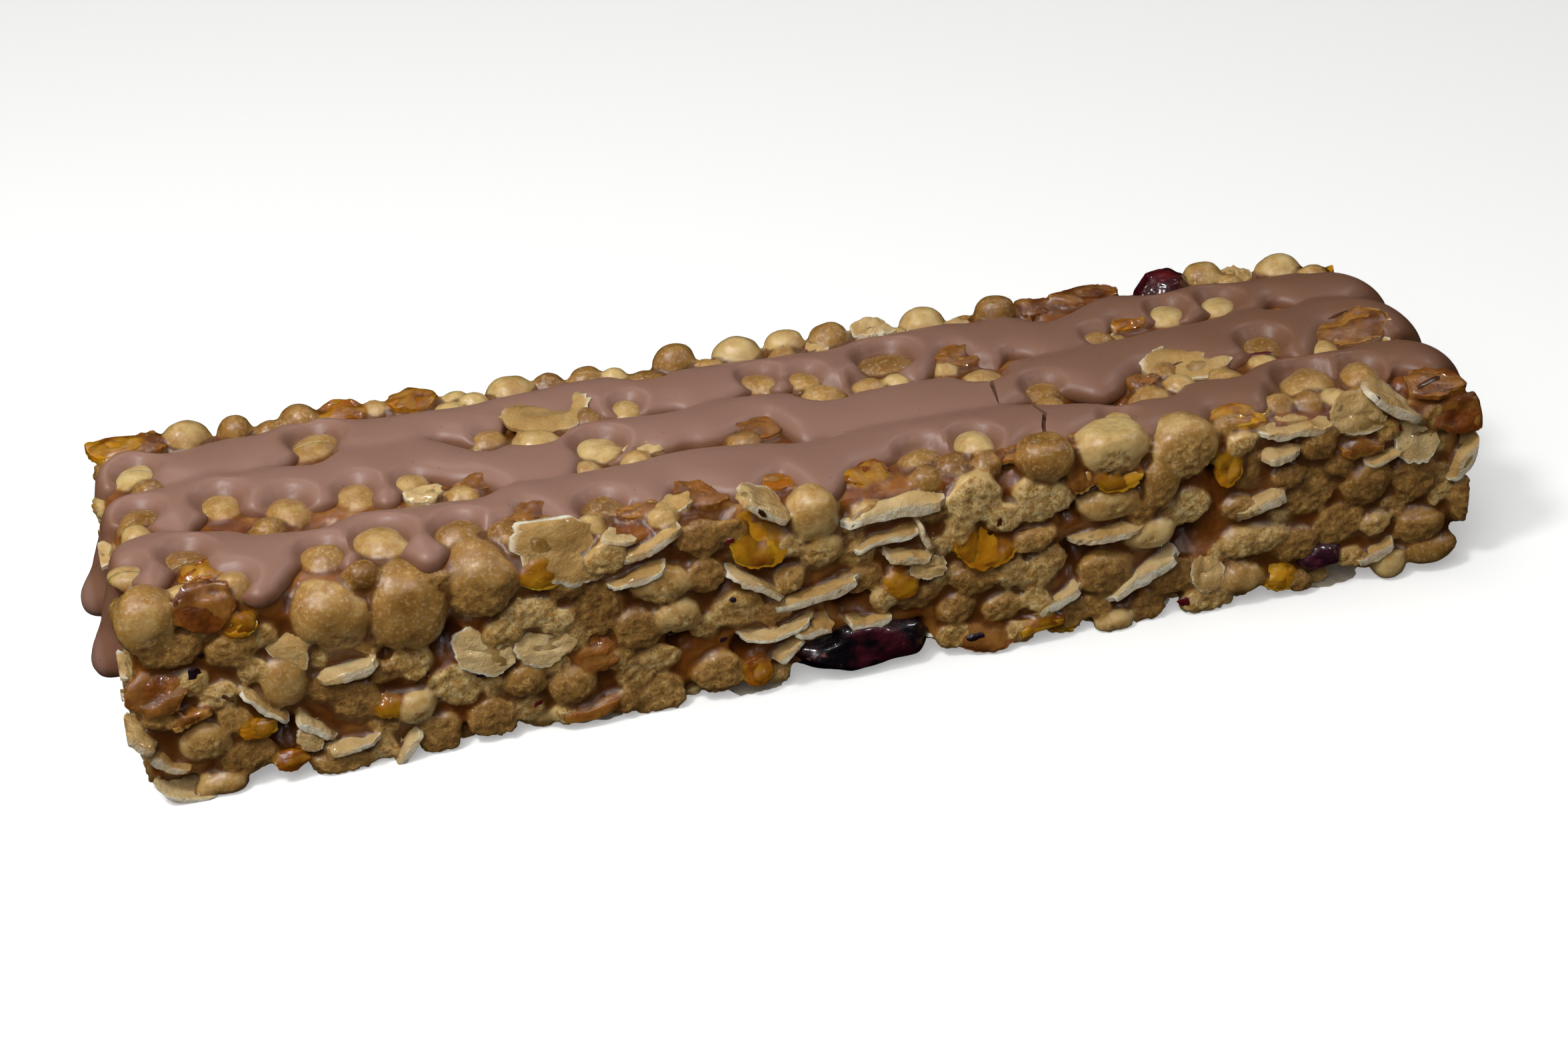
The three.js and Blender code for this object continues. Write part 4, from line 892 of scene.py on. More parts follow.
def rice_finish():
    """Puffed rice in syrup: tan glaze with pale grainy flecks on the grains, darker amber in the
    corners between them, partly syrup pooled there and partly painted shade, and dry fine
    foam where a grain is torn or cut open, its pores painted darker as shade. Deeper inside
    the bar's outline all goes dark brown and then near black, as painted shade in the holes.
    The syrup over a flake takes the flake's tint."""
    f = Finish("rice_and_syrup", Subsurface_Weight=0.5, Coat_Roughness=0.05, Coat_IOR=1.52, **glow(1.3))
    tone, corner = f.value("tone"), f.value("corner")
    patches = f.noise(0.8)
    mottle = f.blend(patches, 0.6, tone, 0.4)
    glaze = f.ramp(mottle, (0.28, "8a5e22"), (0.5, "b28644"), (0.74, "dcbe7e"))
    glaze = f.mix(f.spread(f.noise(0.14, 3.0, 0.5), 0.5, 0.7, 0, 0.4), glaze, "dcc494")
    cloud = f.blend(f.noise(3.0, 3.0, 0.5), 0.55, patches, 0.45)
    film = f.ramp(cloud, (0.36, "72380a"), (0.47, "8a4e14"), (0.56, "9e6424"), (0.68, "b88a4c"))
    skin = f.mix(f.spread(f.value("rice"), 0.2, 0.9), film, glaze)
    blots = f.noise(1.1)
    tints = {"oat": ("98743c", "b4925a"), "corn": ("8c4c04", "b8820e"), "toffee": ("6e3c10", "a06a2a")}
    for kind, (dark, light) in tints.items():
        tint = f.ramp(blots, (0.38, dark), (0.62, light))
        skin = f.mix(f.spread(f.value(kind), 0.15, 0.8), skin, tint)
    # Painted shade, with pooled syrup: the corners between grains darken to deep amber brown.
    skin = f.mix(f.spread(corner, CORNER_LOW, CORNER_HIGH, 0, 0.85), skin, "5e3008")

    # Painted shade in the pores: the foam's pits are painted darker as well as dented, over its own mottle
    # and tone.
    pits = f.spread(f.cells(0.26), 0.0, 0.55)
    crumb = f.blend(pits, 0.14, f.noise(0.3, 5.0, 0.7), 0.86)
    mottle_and_pore_shade = f.math("ADD", crumb, f.spread(tone, 0, 1, -0.12, 0.12))
    dry = f.ramp(mottle_and_pore_shade, (0.34, "825a26"), (0.48, "9c7234"), (0.6, "b68c4a"), (0.78, "e0c488"))
    # Painted shade, with pooled syrup: the foam darkens in the corners between grains.
    dry = f.mix(f.spread(corner, CORNER_LOW, CORNER_HIGH, 0, 0.8), dry, "60340c")

    foam = f.spread(f.blend(f.value("foam"), 1.0, f.noise(0.8, 3.0, 0.5), 0.5), 0.6, 0.95)
    base = f.mix(foam, skin, dry)
    # Painted shade: dark brown, then near black, deeper inside the bar's outline, in the holes between the
    # grains.
    base = f.mix(f.spread(f.inset(), 1.9, 3.6), base, "5a2e10")
    f.set("Base Color", f.mix(f.spread(f.inset(), 3.6, 5.0), base, "0c0604"))
    f.set("Roughness", f.spread(foam, 0, 1, 0.38, 0.65))
    f.set("Coat Weight", f.spread(foam, 0, 1, 1.0, 0.4))
    grain = f.bump(f.noise(0.3, 3.0, 0.5), 0.06)
    f.set("Normal", f.bump(crumb, 0.13, grain, foam))
    f.set("Coat Normal", f.bump(f.noise(0.4), 0.32))
    return f.material


def oat_finish():
    """Rolled oat: cream faces streaked with bran, wet in patches, and a chalky torn rim. The
    faces darken deeper inside the bar as painted shade.
    """
    f = Finish("oat", Subsurface_Weight=0.3, Coat_Roughness=0.12, **glow(0.7))
    raw = f.value("raw")
    mottle = f.blend(f.noise(1.4), 0.75, f.value("tone"), 0.3)
    face = f.ramp(mottle, (0.25, "a67c3e"), (0.45, "c09858"), (0.75, "dcc08a"))
    face = f.mix(f.spread(f.noise(0.5, 4.0, 0.7), 0.64, 0.76, 0, 0.4), face, "6e4a26")
    # Painted shade: the faces darken deeper inside the bar's outline.
    face = f.shaded(face, 1.2, 3.0, "6a3e16")
    white = f.ramp(f.noise(0.4, 3.0, 0.5), (0.3, "e2d0a8"), (0.7, "f6eedc"))
    f.set("Base Color", f.mix(raw, face, white))
    whole = f.spread(raw, 0, 0.6, 1.0, 0.0)
    wet = f.math("MULTIPLY", f.spread(f.noise(1.8, 3.0, 0.5), 0.45, 0.6), whole)
    f.set("Coat Weight", wet)
    f.set("Roughness", f.spread(wet, 0, 1, 0.7, 0.4))
    f.set("Normal", f.bump(f.noise(0.4, 5.0, 0.7), 0.3))
    return f.material


def corn_finish():
    """Corn flake soaked with syrup: clear yellow to orange, blistered and shiny. It darkens
    deeper inside the bar as painted shade.
    """
    f = Finish("corn", Subsurface_Weight=0.45, Coat_Weight=1.0, Coat_Roughness=0.06, Roughness=0.35,
               **glow(1.4))
    mottle = f.blend(f.noise(1.2, 4.0, 0.55), 0.6, f.value("tone"), 0.4)
    base = f.ramp(mottle, (0.25, "7c3a02"), (0.42, "a66006"), (0.6, "c8840c"), (0.82, "e2ac2a"))
    # Painted shade: darker deeper inside the bar's outline.
    f.set("Base Color", f.shaded(base, 0.9, 2.6, "4e2404"))
    f.set("Normal", f.bump(f.noise(0.6, 3.0, 0.5), 0.2))
    return f.material


def toffee_finish():
    """Browned flake under caramel: amber, streaked dark. It darkens deeper inside the bar as
    painted shade.
    """
    f = Finish("toffee", Subsurface_Weight=0.4, Coat_Weight=1.0, Coat_Roughness=0.07, Roughness=0.35,
               **glow(1.2))
    mottle = f.blend(f.noise(1.0, 4.0, 0.65), 0.7, f.value("tone"), 0.3)
    base = f.ramp(mottle, (0.28, "5e2c0a"), (0.44, "864a14"), (0.6, "a66c28"), (0.8, "c2924c"))
    # Painted shade: darker deeper inside the bar's outline.
    f.set("Base Color", f.shaded(base, 0.9, 2.6, "341606"))
    f.set("Normal", f.bump(f.noise(0.5), 0.25))
    return f.material


def icing_finish():
    """Fruit yoghurt icing: satin greyed pink, browner where it is thin, towards its edges,
    with fine dark specks, and darker and browner towards its right end as painted shade."""
    f = Finish("icing", Subsurface_Weight=0.35, Coat_Weight=0.15, Coat_Roughness=0.35, Roughness=0.46,
               **glow(1.4))
    x, _y, z = f.axes()
    over = f.math("SUBTRACT", z, ICING_FLOOR * MM)
    out = f.math("SUBTRACT", f.math("ABSOLUTE", x), (END_X + GAP) * MM)
    thick = f.math("MULTIPLY", f.math("MAXIMUM", over, out), 1 / MM)
    base = f.ramp(f.noise(7.0, 3.0, 0.5), (0.3, "967060"), (0.7, "9e7868"))
    # Painted shade: darker and browner towards the right end, as light that falls off away from the left.
    base = f.mix(f.spread(x, -5 * MM, 50 * MM, 0.0, 0.75), base, "7a5238")
    base = f.mix(f.spread(thick, 0.0, 0.75, 0.65, 0.0), base, "7c5034")
    f.set("Base Color", f.mix(f.spread(f.cells(1.1), 0.035, 0.075, 0.75, 0.0), base, "4e302a"))
    f.set("Normal", f.bump(f.noise(1.6, 3.0, 0.5), 0.05))
    return f.material


def dried_finish(name, dark, light, gleam):
    """Dried fruit, peel or husk: wrinkled and moist, lighter in patches, with small pale spots
    painted on as highlights.
    """
    f = Finish(name, Subsurface_Weight=0.2, Coat_Weight=0.9, Coat_Roughness=0.12, Roughness=0.4,
               **glow(0.7))
    base = f.mix(f.spread(f.noise(1.3), 0.48, 0.66), dark, light)
    # Painted highlight: small spots of the `gleam` colour.
    f.set("Base Color", f.mix(f.spread(f.noise(0.5, 3.0, 0.5), 0.66, 0.74), base, gleam))
    f.set("Normal", f.bump(f.noise(0.7, 4.0, 0.65), 0.3))
    return f.material


# ---------------------------------------------------------------- rice, syrup and flakes


def core_block():
    """The bare block under the grains: the skin of a box with rounded edges, dented as a
    bell at each pit."""
    cells, rounding = (110, 28, 16), 1.0
    low = np.array([-END_X + CORE_INSET, -SIDE_Y + CORE_INSET, CORE_INSET])
    high = np.array([END_X - CORE_INSET, SIDE_Y - CORE_INSET, ICING_FLOOR - GAP])
    points, quads = lattice(*cells)
    points = low + (high - low) * (points + 1) / 2
    middle = np.clip(points, low + rounding, high - rounding)
    away = points - middle
    length = np.maximum(np.linalg.norm(away, axis=1, keepdims=True), 1e-9)
    points = middle + away / length * np.minimum(length, rounding)
    for (axis, side), u, v, radius, depth in PITS:
        across = np.hypot(points[:, 0] - u, points[:, 3 - axis] - v)
        near = np.exp(-((across / radius) ** 2)) * (side * (points[:, axis] - middle[:, axis]) > 0)
        points[:, axis] -= side * depth * near
    points[:, 2] = np.maximum(points[:, 2], floor_at(points[:, 0]) + CORE_INSET)
    return points, quads


def forms_object(shapes):
    """The bare block and all the grains as they lie, in one mesh. Its colour `look` says
    for each place what it is (its number in KINDS), how much of it is foam, and its
    tone."""
    block, block_quads = core_block()
    verts, faces, looks, start = [], [], [], 0
    for copies, quads, look in [(block[None], block_quads, np.zeros(3))] + shapes:
        count, size = copies.shape[:2]
        verts.append(copies.reshape(-1, 3))
        faces.append((quads[None] + start + (np.arange(count) * size)[:, None, None]).reshape(-1, 4))
        looks.append(np.broadcast_to(look, copies.shape).reshape(-1, 3))
        start += count * size
    forms = mesh_object("forms", np.vstack(verts), np.vstack(faces))
    look = np.hstack([np.vstack(looks), np.ones((start, 1))])
    forms.data.color_attributes.new("look", "FLOAT_COLOR", "POINT").data.foreach_set("color", look.ravel())
    return forms


def softened(mesh, values, times):
    """Evens out numbers on the points of a mesh: each one becomes the mean of itself and
    the mean of its neighbours."""
    ends = np.empty(len(mesh.edges) * 2, np.int32)
    mesh.edges.foreach_get("vertices", ends)
    a, b = ends.reshape(-1, 2).T
    count = len(values)
    neighbours = np.maximum(np.bincount(ends, minlength=count), 1)
    for _ in range(times):
        around = np.bincount(a, values[b], count) + np.bincount(b, values[a], count)
        values = (values + around / neighbours) / 2
    return values


def look_of(skin, forms):
    """Gives each point of a skin the look of the nearest form, and takes the numbers out
    as an array."""
    skin.data.color_attributes.new("look", "FLOAT_COLOR", "POINT")
    settled(modified(skin, "Look", "DATA_TRANSFER", object=forms, use_vert_data=True,
                     data_types_verts={"COLOR_VERTEX"}, vert_mapping="POLYINTERP_NEAREST"))
    look = np.empty(len(skin.data.vertices) * 4, np.float32)
    skin.data.color_attributes["look"].data.foreach_get("color", look)
    skin.data.attributes.remove(skin.data.attributes["look"])
    return look.reshape(-1, 4)[:, :3].T


def rice_skin(shapes):
    """The puffed rice and the syrup as one skin: the forms melted together and smoothed.
    A corner is where much more smoothing would lift the skin, and it is cut deeper by a
    share of that. Foam is roughened by two sizes of wandering waves."""
    forms = forms_object(shapes)
    skin = linked(forms.copy())
    skin.name = "rice_and_syrup"
    melted(skin, SKIN_VOXEL)
    form, foam, tone = look_of(skin, forms)
    bpy.data.objects.remove(forms)
    eased(skin, 3)
    at, normal = places(skin.data), places(skin.data, "normal")
    smoother = eased(linked(skin.copy()), 24)
    corner = ((places(smoother.data) - at) * normal).sum(axis=1)
    bpy.data.objects.remove(smoother)
    rng = np.random.default_rng(3)
    relief = 0.06 * wander(at, 1.1, rng) + 0.14 * wander(at, 0.6, rng)
    crease = CREASE * np.clip(corner, -0.1, 0.3)
    move_to(skin.data, at + normal * (foam * relief - crease)[:, None])
    for number, kind in enumerate(KINDS[1:], 1):
        note(skin.data, kind, softened(skin.data, (np.round(form) == number).astype(float), 3))
    note(skin.data, "foam", softened(skin.data, foam, 1))
    note(skin.data, "tone", softened(skin.data, tone, 2))
    note(skin.data, "corner", corner)
    return skin


def thirds(piece):
    """Parts a broad piece lengthwise into three closed ones, with a block round each. On
    top the cuts run under the icing."""
    cuts = (-2 * SIDE_Y, -8.0, 8.0, 2 * SIDE_Y)
    parts = []
    for index, (low, high) in enumerate(zip(cuts, cuts[1:]), 1):
        part = linked(piece.copy())
        part.data = piece.data.copy()
        part.name = f"{piece.name}_{index}"
        points, quads = lattice(1, 1, 1)
        half, middle = [80, (high - low) / 2, 30], [0, (high + low) / 2, 0]
        parts.append(carved(part, mesh_object("block", points * half + middle, quads), "INTERSECT"))
        flat_cuts(part, low, high)
    bpy.data.objects.remove(piece)
    return parts


def flat_cuts(part, low, high):
    """Keeps the flat cuts of a part out of the shading of its sides, and gives their points
    the look of the nearest place beside them."""
    mesh = part.data
    at = places(mesh)
    on_cut, beside = 0.001, 0.8
    off = np.minimum(np.abs(at[:, 1] - low), np.abs(at[:, 1] - high))
    ends, near = np.flatnonzero(off < on_cut), np.flatnonzero((off >= on_cut) & (off < beside))
    nearest = np.array([near[((at[near] - place) ** 2).sum(axis=1).argmin()] for place in at[ends]])
    for name in (*KINDS[1:], "foam", "tone", "corner"):
        values = np.empty(len(at), np.float32)
        mesh.attributes[name].data.foreach_get("value", values)
        values[ends] = values[nearest]
        mesh.attributes[name].data.foreach_set("value", values)
    middles = np.empty(len(mesh.polygons) * 3, np.float32)
    mesh.polygons.foreach_get("center", middles)
    y = middles.reshape(-1, 3)[:, 1] / MM
    mesh.polygons.foreach_set("use_smooth", np.minimum(np.abs(y - low), np.abs(y - high)) > on_cut)


def is_open(grain):
    """Whether a side of the bar lays this grain's inside bare."""
    if grain.kind == "cut":
        return True
    along = grain.at[grain.facing]
    inset = along if grain.facing == 2 else (END_X if grain.facing == 0 else SIDE_Y) - abs(along)
    return inset < OPEN_SHARE * grain.size[grain.facing]


def rice_shapes(grains, cells, rng):
    """The grains of rice for the skin, with their look. A grain that is cut open stands
    back a little by chance, and whole ones keep their round faces."""
    count = len(grains)
    whole = np.array([grain.kind == "puff" and not grain.thrown for grain in grains])
    opened = np.where(whole, 0.25, [0.95 if is_open(grain) else 0.35 for grain in grains])
    opened = opened + rng.uniform(-0.15, 0.15, count) * np.where(whole, 2.4, 1.0)
    opened = np.where([on_top(grain) for grain in grains], -1.0, opened)
    points, quads, foam = puffs(grains, cells, rng, opened[:, None])
    shave = SHAVE_LEAST + (SHAVE_MOST - SHAVE_LEAST) * rng.random((count, 1))
    shave = np.where(whole[:, None], -PROUD, np.maximum(shave + 0.15 * wander(points, 1.3, rng), 0))
    points, moved = trimmed(points, shave)
    foam = np.maximum(foam, smooth_step(moved, 0.45, 0.8) * ~whole[:, None])
    tone = np.broadcast_to(rng.random((count, 1)), foam.shape)
    return points, quads, np.stack([np.full_like(foam, KINDS.index("rice")), foam, tone], -1)


def flake_piece(kind, name, grains, cells, finish, rng):
    """The flakes of one kind. Torn stretches of their rims and what the knife has cut
    show raw. Gives the syrup over them as a form for the skin."""
    count, ease = len(grains), 0.25
    made, coat, quads, white = flakes(grains, cells, rng, *FLAKE_FORMS[kind])
    shave = 0.5 * SHAVE_MOST * rng.random((count, 1))
    cut, moved = trimmed(made, shave, ease)
    raw = np.maximum(0.7 * smooth_step(moved, 0.3, 0.9), white)
    piece = mesh_object(name, cut, quads, {"raw": raw, "tone": rng.random((count, 1))})
    crisp(piece)
    dress(piece, "cereal", finish)
    tone = np.broadcast_to(rng.random((count, 1)), raw.shape)
    look = np.stack([np.full_like(raw, KINDS.index(kind)), np.zeros_like(raw), tone], -1)
    return trimmed(coat, shave, ease)[0], quads, look


def stick_scraps(skin, kind, tints):
    """The scraps of one kind: wrinkled lozenges, laid on the skin where the line of sight
    to the place aimed at meets it, half sunk and flat to it."""
    tree = BVHTree.FromObject(skin, bpy.context.evaluated_depsgraph_get())
    direction, quads = ball(4)
    rng = np.random.default_rng(len(SCRAPS[kind]))
    shapes = []
    for aim, width, height, lean in SCRAPS[kind]:
        hit, normal, _face, _far = tree.ray_cast(Vector(EYE * MM), Vector(np.array(aim) - EYE))
        if hit is None:
            continue
        across = normal.cross(Vector((0, 0, 1)) if abs(normal.z) < 0.8 else Vector((0, -1, 0))).normalized()
        across.negate()
        across.rotate(Quaternion(normal, math.radians(lean)))
        axes = np.array([across, normal.cross(across), normal])
        lump = 1 + 0.3 * waves(direction, 1, rng, 3.0)[0]
        half = np.array([width, height, 0.3 * min(width, height)]) / 2
        shapes.append((direction * lump[:, None] * half) @ axes + np.array(hit) / MM)
    dress(mesh_object(kind, np.stack(shapes), quads), "cereal", dried_finish(kind, *tints))


def grain_pieces():
    """Every kind of flake as its own piece, then the rice and syrup round them, and the
    scraps on it. The large grains have finer faces than the small ones."""
    coarse, fine = all_grains()
    rng = np.random.default_rng(7)
    shapes = []
    for kind, finish in (("oat", oat_finish()), ("corn", corn_finish()), ("toffee", toffee_finish())):
        for size, grains, cells in (("flakes", coarse, (18, 12)), ("bits", fine, (8, 6))):
            chosen = [grain for grain in grains if grain.kind == kind]
            if chosen:
                shapes.append(flake_piece(kind, f"{kind}_{size}", chosen, cells, finish, rng))
    for grains, cells in ((coarse, 8), (fine, 5)):
        shapes.append(rice_shapes([grain for grain in grains if not is_flake(grain.kind)], cells, rng))
    skin = rice_skin(shapes)
    # Colours for each: dark, light, and a painted highlight.
    stick_scraps(skin, "plum_scraps", ("200a18", "3c1430", "5a2a3c"))
    stick_scraps(skin, "red_scraps", ("5a0a10", "84141c", "a04038"))
    stick_scraps(skin, "husks", ("3a1c08", "5c300f", "7c4a20"))
    rice = rice_finish()
    for part in thirds(skin):
        dress(part, "cereal", rice)
    return coarse


# ---------------------------------------------------------------- icing


def hanging(length, ups, widths, thicks):
    """A hanging end of a run, from its tip up: how far each place lies over the tip, and
    its shares of width and thickness, which go evenly from one place of `ups` (a share of
    the length) to the next. Both close to the tip as a half circle, the thickness to a bit
    under half."""
    step, tip = 0.4, 1.3
    down = np.linspace(0, length, max(8, round(length / step)))
    closing = np.sqrt(np.clip(1 - (1 - np.minimum(down / tip, 1)) ** 2, 0.02, 1))
    width = np.interp(down / length, ups, widths) * closing
    thick = np.interp(down / length, ups, thicks) * (0.45 + 0.55 * closing)
    return down, width, thick


def run_path(drop):
    """The line under a run of icing, as arrays: x, z, outward normal x and z, and the
    shares of width, thickness and depth of the skirt there. It goes up the left end,
    round a tight quarter circle, along the top, round a wide quarter circle and down the
    right end."""
    clear = END_X + GAP
    left_bend, right_bend = 1.2, 4.0
    left_drop, right_drop = drop
    step, deep = 0.4, 2.5

    down, width, thick = hanging(left_drop, (0, 0.2, 0.5, 1), (1.1, 1.2, 0.8, 1), (1.3, 1.5, 0.6, 0.4))
    one, zero = np.ones_like(down), np.zeros_like(down)
    lean = LEFT_SETBACK * (1 - min(left_drop / 6, 1) * (1 - (down / left_drop) ** 1.5))
    z = ICING_FLOOR - left_bend - left_drop + down
    left = [lean - clear, z, -one, zero, width, thick, one * deep]

    angle = np.linspace(np.pi, np.pi / 2, 8)[1:]
    one = np.ones_like(angle)
    start = LEFT_SETBACK - clear
    x, z = start + left_bend * (1 + np.cos(angle)), ICING_FLOOR - left_bend * (1 - np.sin(angle))
    turn = [x, z, np.cos(angle), np.sin(angle), one, np.linspace(0.5, 0.9, len(angle)), one]

    along = np.arange(start + left_bend + step, clear - right_bend, step)
    flat = [along, np.full_like(along, ICING_FLOOR), np.zeros_like(along)] + [np.ones_like(along)] * 4

    angle = np.linspace(np.pi / 2, 0, 14)
    one = np.ones_like(angle)
    x = clear - right_bend + right_bend * np.cos(angle)
    z = ICING_FLOOR - right_bend * (1 - np.sin(angle))
    fall = [x, z, np.cos(angle), np.sin(angle), np.linspace(1, 0.76, len(angle)), one, one]

    down, width, thick = (a[::-1] for a in hanging(right_drop, (0, 0.5, 1), (0.6, 0.7, 0.74), (0.9, 1, 1)))
    one, zero = np.ones_like(down), np.zeros_like(down)
    z = ICING_FLOOR - right_bend - right_drop + down
    right = [clear * one, z, one, zero, width, thick, one]
    return [np.concatenate(parts) for parts in zip(left, turn, flat, fall, right)]


def run_skin(run, index):
    """One run of icing. Its section is a dome, whose height at a share a of the half
    width is 1 less a to the power 2.7, all to the power 0.62, closed by a flat underside.
    The section is carried along the run's path between the two wavy edges."""
    x, z, normal_x, normal_z, width, thick, deep = run_path(run["drop"])
    seen_x = np.clip(x, -END_X, END_X)
    low, high = edge_at(run["front"], seen_x), edge_at(run["back"], seen_x)
    middle, half = (low + high) / 2, np.maximum((high - low) / 2 * width - ICING_SWELL, 0.2)
    steps = np.arange(len(x))
    swell = 1 + 0.07 * np.sin(0.11 * steps + 2 * index) + 0.05 * np.sin(0.29 * steps + 5 * index)
    across = -np.cos(np.linspace(0, np.pi, 22))
    dome = (1 - np.abs(across) ** 2.7) ** 0.62
    under = np.linspace(1, -1, 10)
    a = np.concatenate([across, under])
    rise = dome * (thick * swell * (ICING_THICKNESS - ICING_SWELL))[:, None]
    rise = np.hstack([rise, np.full((len(x), len(under)), -ICING_SKIRT)])
    reach = np.where(rise < 0, rise * deep[:, None], rise)
    points = np.stack([
        x[:, None] + normal_x[:, None] * reach,
        middle[:, None] + half[:, None] * a,
        z[:, None] + normal_z[:, None] * reach,
    ], -1)
    grid = np.arange(len(x) * len(a)).reshape(len(x), len(a))
    ring, after = grid[:-1], grid[1:]
    quads = np.stack([ring, after, np.roll(after, -1, 1), np.roll(ring, -1, 1)], -1).reshape(-1, 4)
    return points.reshape(-1, 3), quads.tolist() + [grid[0].tolist(), grid[-1][::-1].tolist()]


def sunk_round(at, grains):
    """Lets the icing sink round the puffs on top. Near each one its height falls to a
    fifth of its radius over the puff's middle, as a smooth step of the distance from the
    puff's upright axis."""
    for grain in grains:
        if grain.kind != "puff" or not on_top(grain):
            continue
        radius = (grain.size[0] + grain.size[1]) / 4
        away = np.hypot(at[:, 0] - grain.at[0], at[:, 1] - grain.at[1])
        low = max(grain.at[2] + 0.2 * radius, ICING_FLOOR - 0.5)
        fall = 1 - smooth_step(away, 0.75 * radius, radius + 0.45)
        at[:, 2] -= fall * np.maximum(at[:, 2] - low, 0)
    return at


def icing_piece(grains):
    """The three runs melted into one skin, so that they flow together where they touch,
    then smoothed, blown up, sunk round the puffs and cracked."""
    verts, faces, start = [], [], 0
    for index, run in enumerate(RUNS):
        points, run_faces = run_skin(run, index)
        verts.append(points)
        faces += [[start + corner for corner in face] for face in run_faces]
        start += len(points)
    mesh = bpy.data.meshes.new("icing_coat")
    mesh.from_pydata((np.vstack(verts) * MM).tolist(), [], faces)
    piece = linked(bpy.data.objects.new("icing_coat", mesh))
    eased(melted(piece, ICING_VOXEL), 8)
    settled(modified(piece, "Swell", "DISPLACE", mid_level=0, strength=ICING_SWELL * MM))
    move_to(piece.data, sunk_round(places(piece.data), grains))
    eased(piece, 5)
    for crack in CRACKS:
        carved(piece, crack_blade(crack), "DIFFERENCE")
    crisp(piece)
    dress(piece, "icing", icing_finish())


def crack_blade(crack):
    """A crooked blade that stands in the icing: at each place of a crack, half a width to
    either side, which closes at both ends as a half circle."""
    x, y = np.array(crack, float).T
    half = 0.2 * np.sqrt(1 - np.linspace(-0.98, 0.98, len(x)) ** 2)
    low, high = ICING_FLOOR + 0.4, TOP_Z + 2
    edges = [np.stack([x + side * half, y, np.full_like(x, level)], 1)
             for side, level in ((-1, low), (1, low), (1, high), (-1, high))]
    points = np.stack(edges, 1)
    index = np.arange(len(x) * 4).reshape(-1, 4)
    before, after = index[:-1], index[1:]
    quads = np.stack([before, np.roll(before, -1, 1), np.roll(after, -1, 1), after], -1).reshape(-1, 4)
    quads = np.vstack([quads, index[:1, ::-1], index[-1:]])
    return mesh_object("blade", points.reshape(-1, 3), quads)


# ---------------------------------------------------------------- dried fruit


def berry(name, tints):
    """A shrivelled fruit: a ball whose radius folds in along ridged waves, one less the
    size of a sine, in two sizes of wrinkle."""
    at, half, turn = FRUITS[name]
    rng = np.random.default_rng(sum(name.encode()))
    direction, quads = ball(14)
    fold = 1 + 0.07 * np.sin(5 * direction[:, 0] + 3 * direction[:, 2])
    fold += 0.05 * np.sin(7 * direction[:, 1] - 2 * direction[:, 0])
    wide = 1 - np.abs(waves(direction, 1, rng, 3.2)[0])
    fine = 1 - np.abs(waves(direction, 1, rng, 7.5)[0])
    radius = fold * (0.86 + 0.10 * wide + 0.06 * fine)
    points = turned((direction * radius[:, None] * np.array(half))[None], [(0, 0, turn)]) + np.array(at)
    piece = mesh_object(name + "_skin", trimmed(points, 0.0)[0], quads)
    modified(piece, "Subdivision", "SUBSURF", levels=1, render_levels=1)
    dress(piece, name, dried_finish(name + "_skin", *tints))


def bar():
    icing_piece(grain_pieces())
    # Colours for each: dark, light, and a painted highlight.
    berry("dark_berry", ("100810", "4a1420", "8a4644"))
    berry("plum_berry", ("3c1826", "5a2436", "8a5560"))
    berry("red_berry", ("3c060c", "6a0c16", "8a3038"))


# ---------------------------------------------------------------- the room


def floor():
    """A plain pale floor, bright enough to fade out round the bar."""
    f = Finish("floor", Roughness=0.8, Specular_IOR_Level=0.2, Emission_Strength=0.33)
    f.set("Base Color", colour("f8f8f6"))
    f.set("Emission Color", colour("ffffff"))
    reach = 1500.0
    corners = np.array([[-1, -1, 0], [1, -1, 0], [1, 1, 0], [-1, 1, 0]]) * reach
    ground = mesh_object("floor", corners, np.array([[0, 1, 2, 3]]))
    ground.data.materials.append(f.material)
    ground.visible_glossy = False
    ground.visible_diffuse = False


def air():
    """Faint warm light from all round, which doesn't show in shiny places."""
    world = bpy.data.worlds.new("room")
    bpy.context.scene.world = world
    world.use_nodes = True
    background = world.node_tree.nodes["Background"].inputs
    background["Color"].default_value = (1.0, 0.98, 0.95, 1.0)
    background["Strength"].default_value = 0.11
    world.cycles_visibility.glossy = False


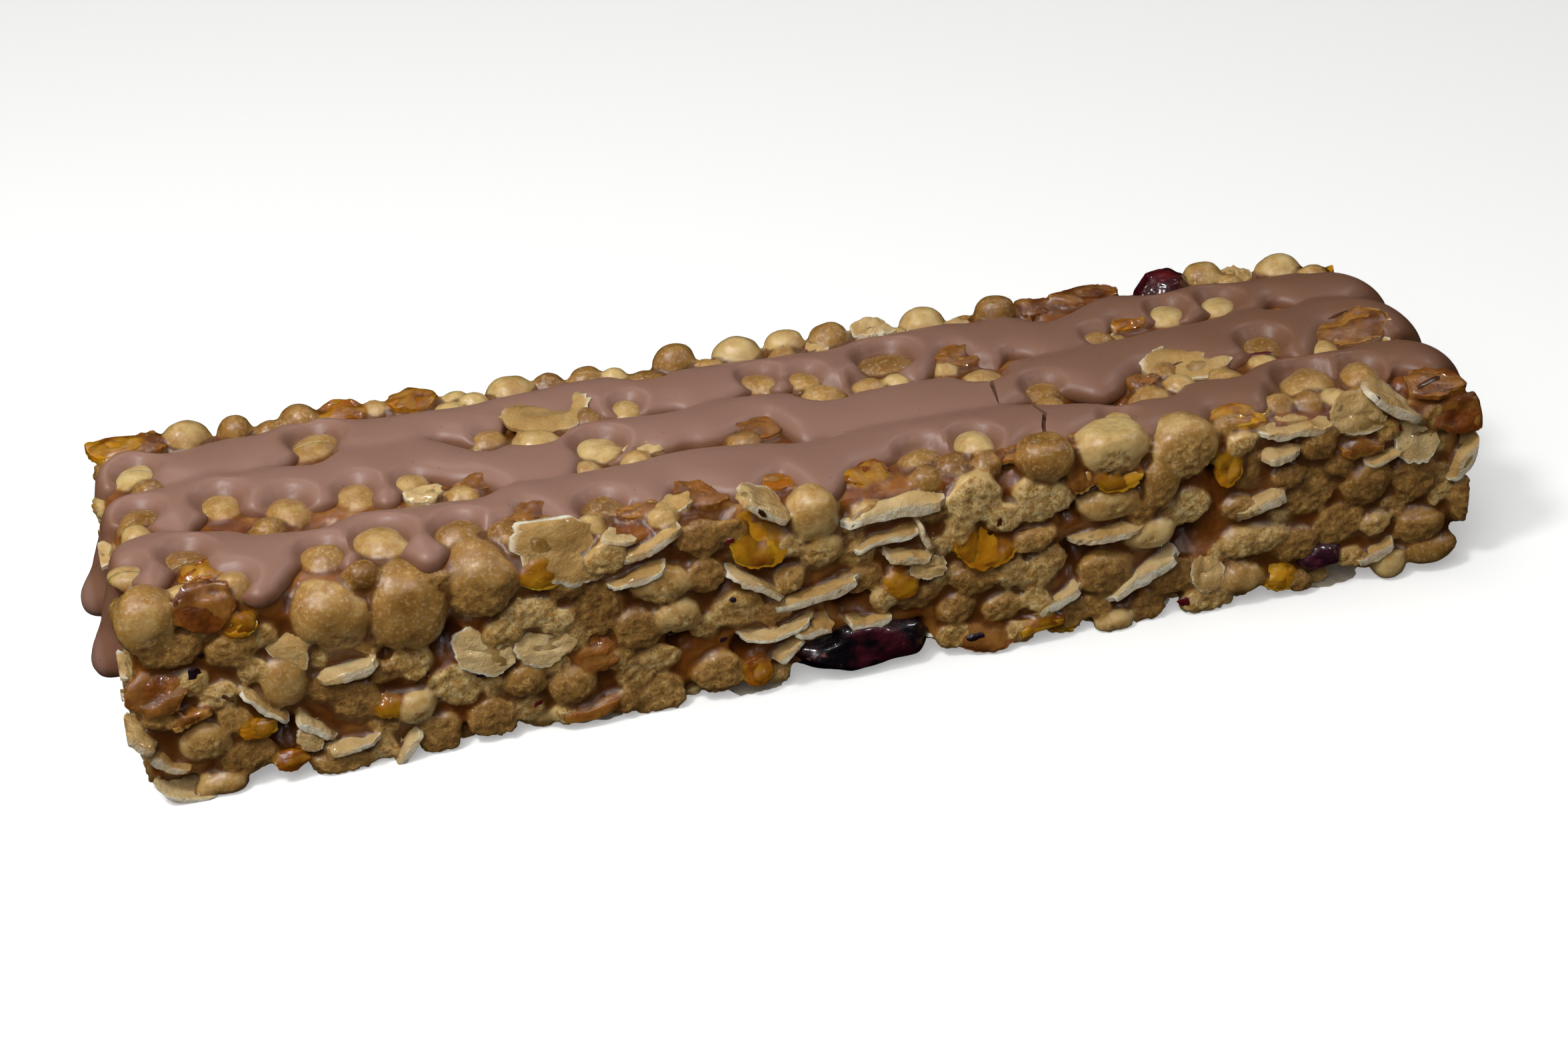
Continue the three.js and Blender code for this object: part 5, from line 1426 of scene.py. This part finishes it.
def lamp(name, azimuth, elevation, distance, size, power, lights=True, gleams=True):
    """A round soft lamp that looks at the bar's middle: its azimuth and elevation in
    degrees, how far off it stands and how wide it is in metres, its power in watts, and
    whether it lights the bar and shows in shiny places."""
    turn, lift = math.radians(azimuth), math.radians(elevation)
    way = Vector((math.sin(turn) * math.cos(lift), -math.cos(turn) * math.cos(lift), math.sin(lift)))
    light = bpy.data.lights.new(name, "AREA")
    light.shape = "DISK"
    light.size = size
    light.energy = power
    stand = linked(bpy.data.objects.new(name, light))
    stand.visible_glossy = gleams
    stand.visible_diffuse = lights
    stand.location = Vector((0, 0, 9 * MM)) + way * distance
    stand.rotation_euler = (-way).to_track_quat("-Z", "Y").to_euler()


def lamps():
    """A key from the left, two wide soft lamps, and small ones that only gleam."""
    lamp("key", -56, 56, 0.32, 0.06, 0.43)
    lamp("wash", -30, 46, 0.38, 0.25, 0.54, gleams=False)
    lamp("sky", -140, 78, 0.60, 0.40, 0.8, gleams=False)
    glints = [(-70, 40), (-20, 35), (30, 50), (75, 35), (120, 50), (-160, 55)]
    for index, (azimuth, elevation) in enumerate(glints, 1):
        lamp(f"glint_{index}", azimuth, elevation, 0.5, 0.026, 0.17, lights=False)


def camera():
    """The camera: azimuth and elevation of the line back to it, its distance, the roll
    about that line, and a lens that sees 36 mm of film."""
    azimuth, elevation, roll = math.radians(-14.66), math.radians(30.06), math.radians(-2.28)
    target, distance = Vector((-0.954, -2.420, 8.5)) * MM, 240.4 * MM
    film_width, picture_width, focal_pixels = 36.0, 2352, 4367.0
    back = Vector((math.sin(azimuth) * math.cos(elevation), -math.cos(azimuth) * math.cos(elevation),
                   math.sin(elevation)))
    right = (-back).cross(Vector((0, 0, 1))).normalized()
    up = right.cross(-back)
    leaned_right = right * math.cos(roll) + up * math.sin(roll)
    leaned_up = up * math.cos(roll) - right * math.sin(roll)
    lens = bpy.data.cameras.new("camera")
    lens.sensor_width = film_width
    lens.lens = film_width * focal_pixels / picture_width
    lens.clip_start = 0.01
    stand = linked(bpy.data.objects.new("camera", lens))
    turn = Matrix((leaned_right, leaned_up, back)).transposed().to_4x4()
    stand.matrix_world = Matrix.Translation(target + back * distance) @ turn
    bpy.context.scene.camera = stand


camera()
floor()
air()
lamps()
bar()
bpy.context.scene.view_settings.view_transform = "Standard"
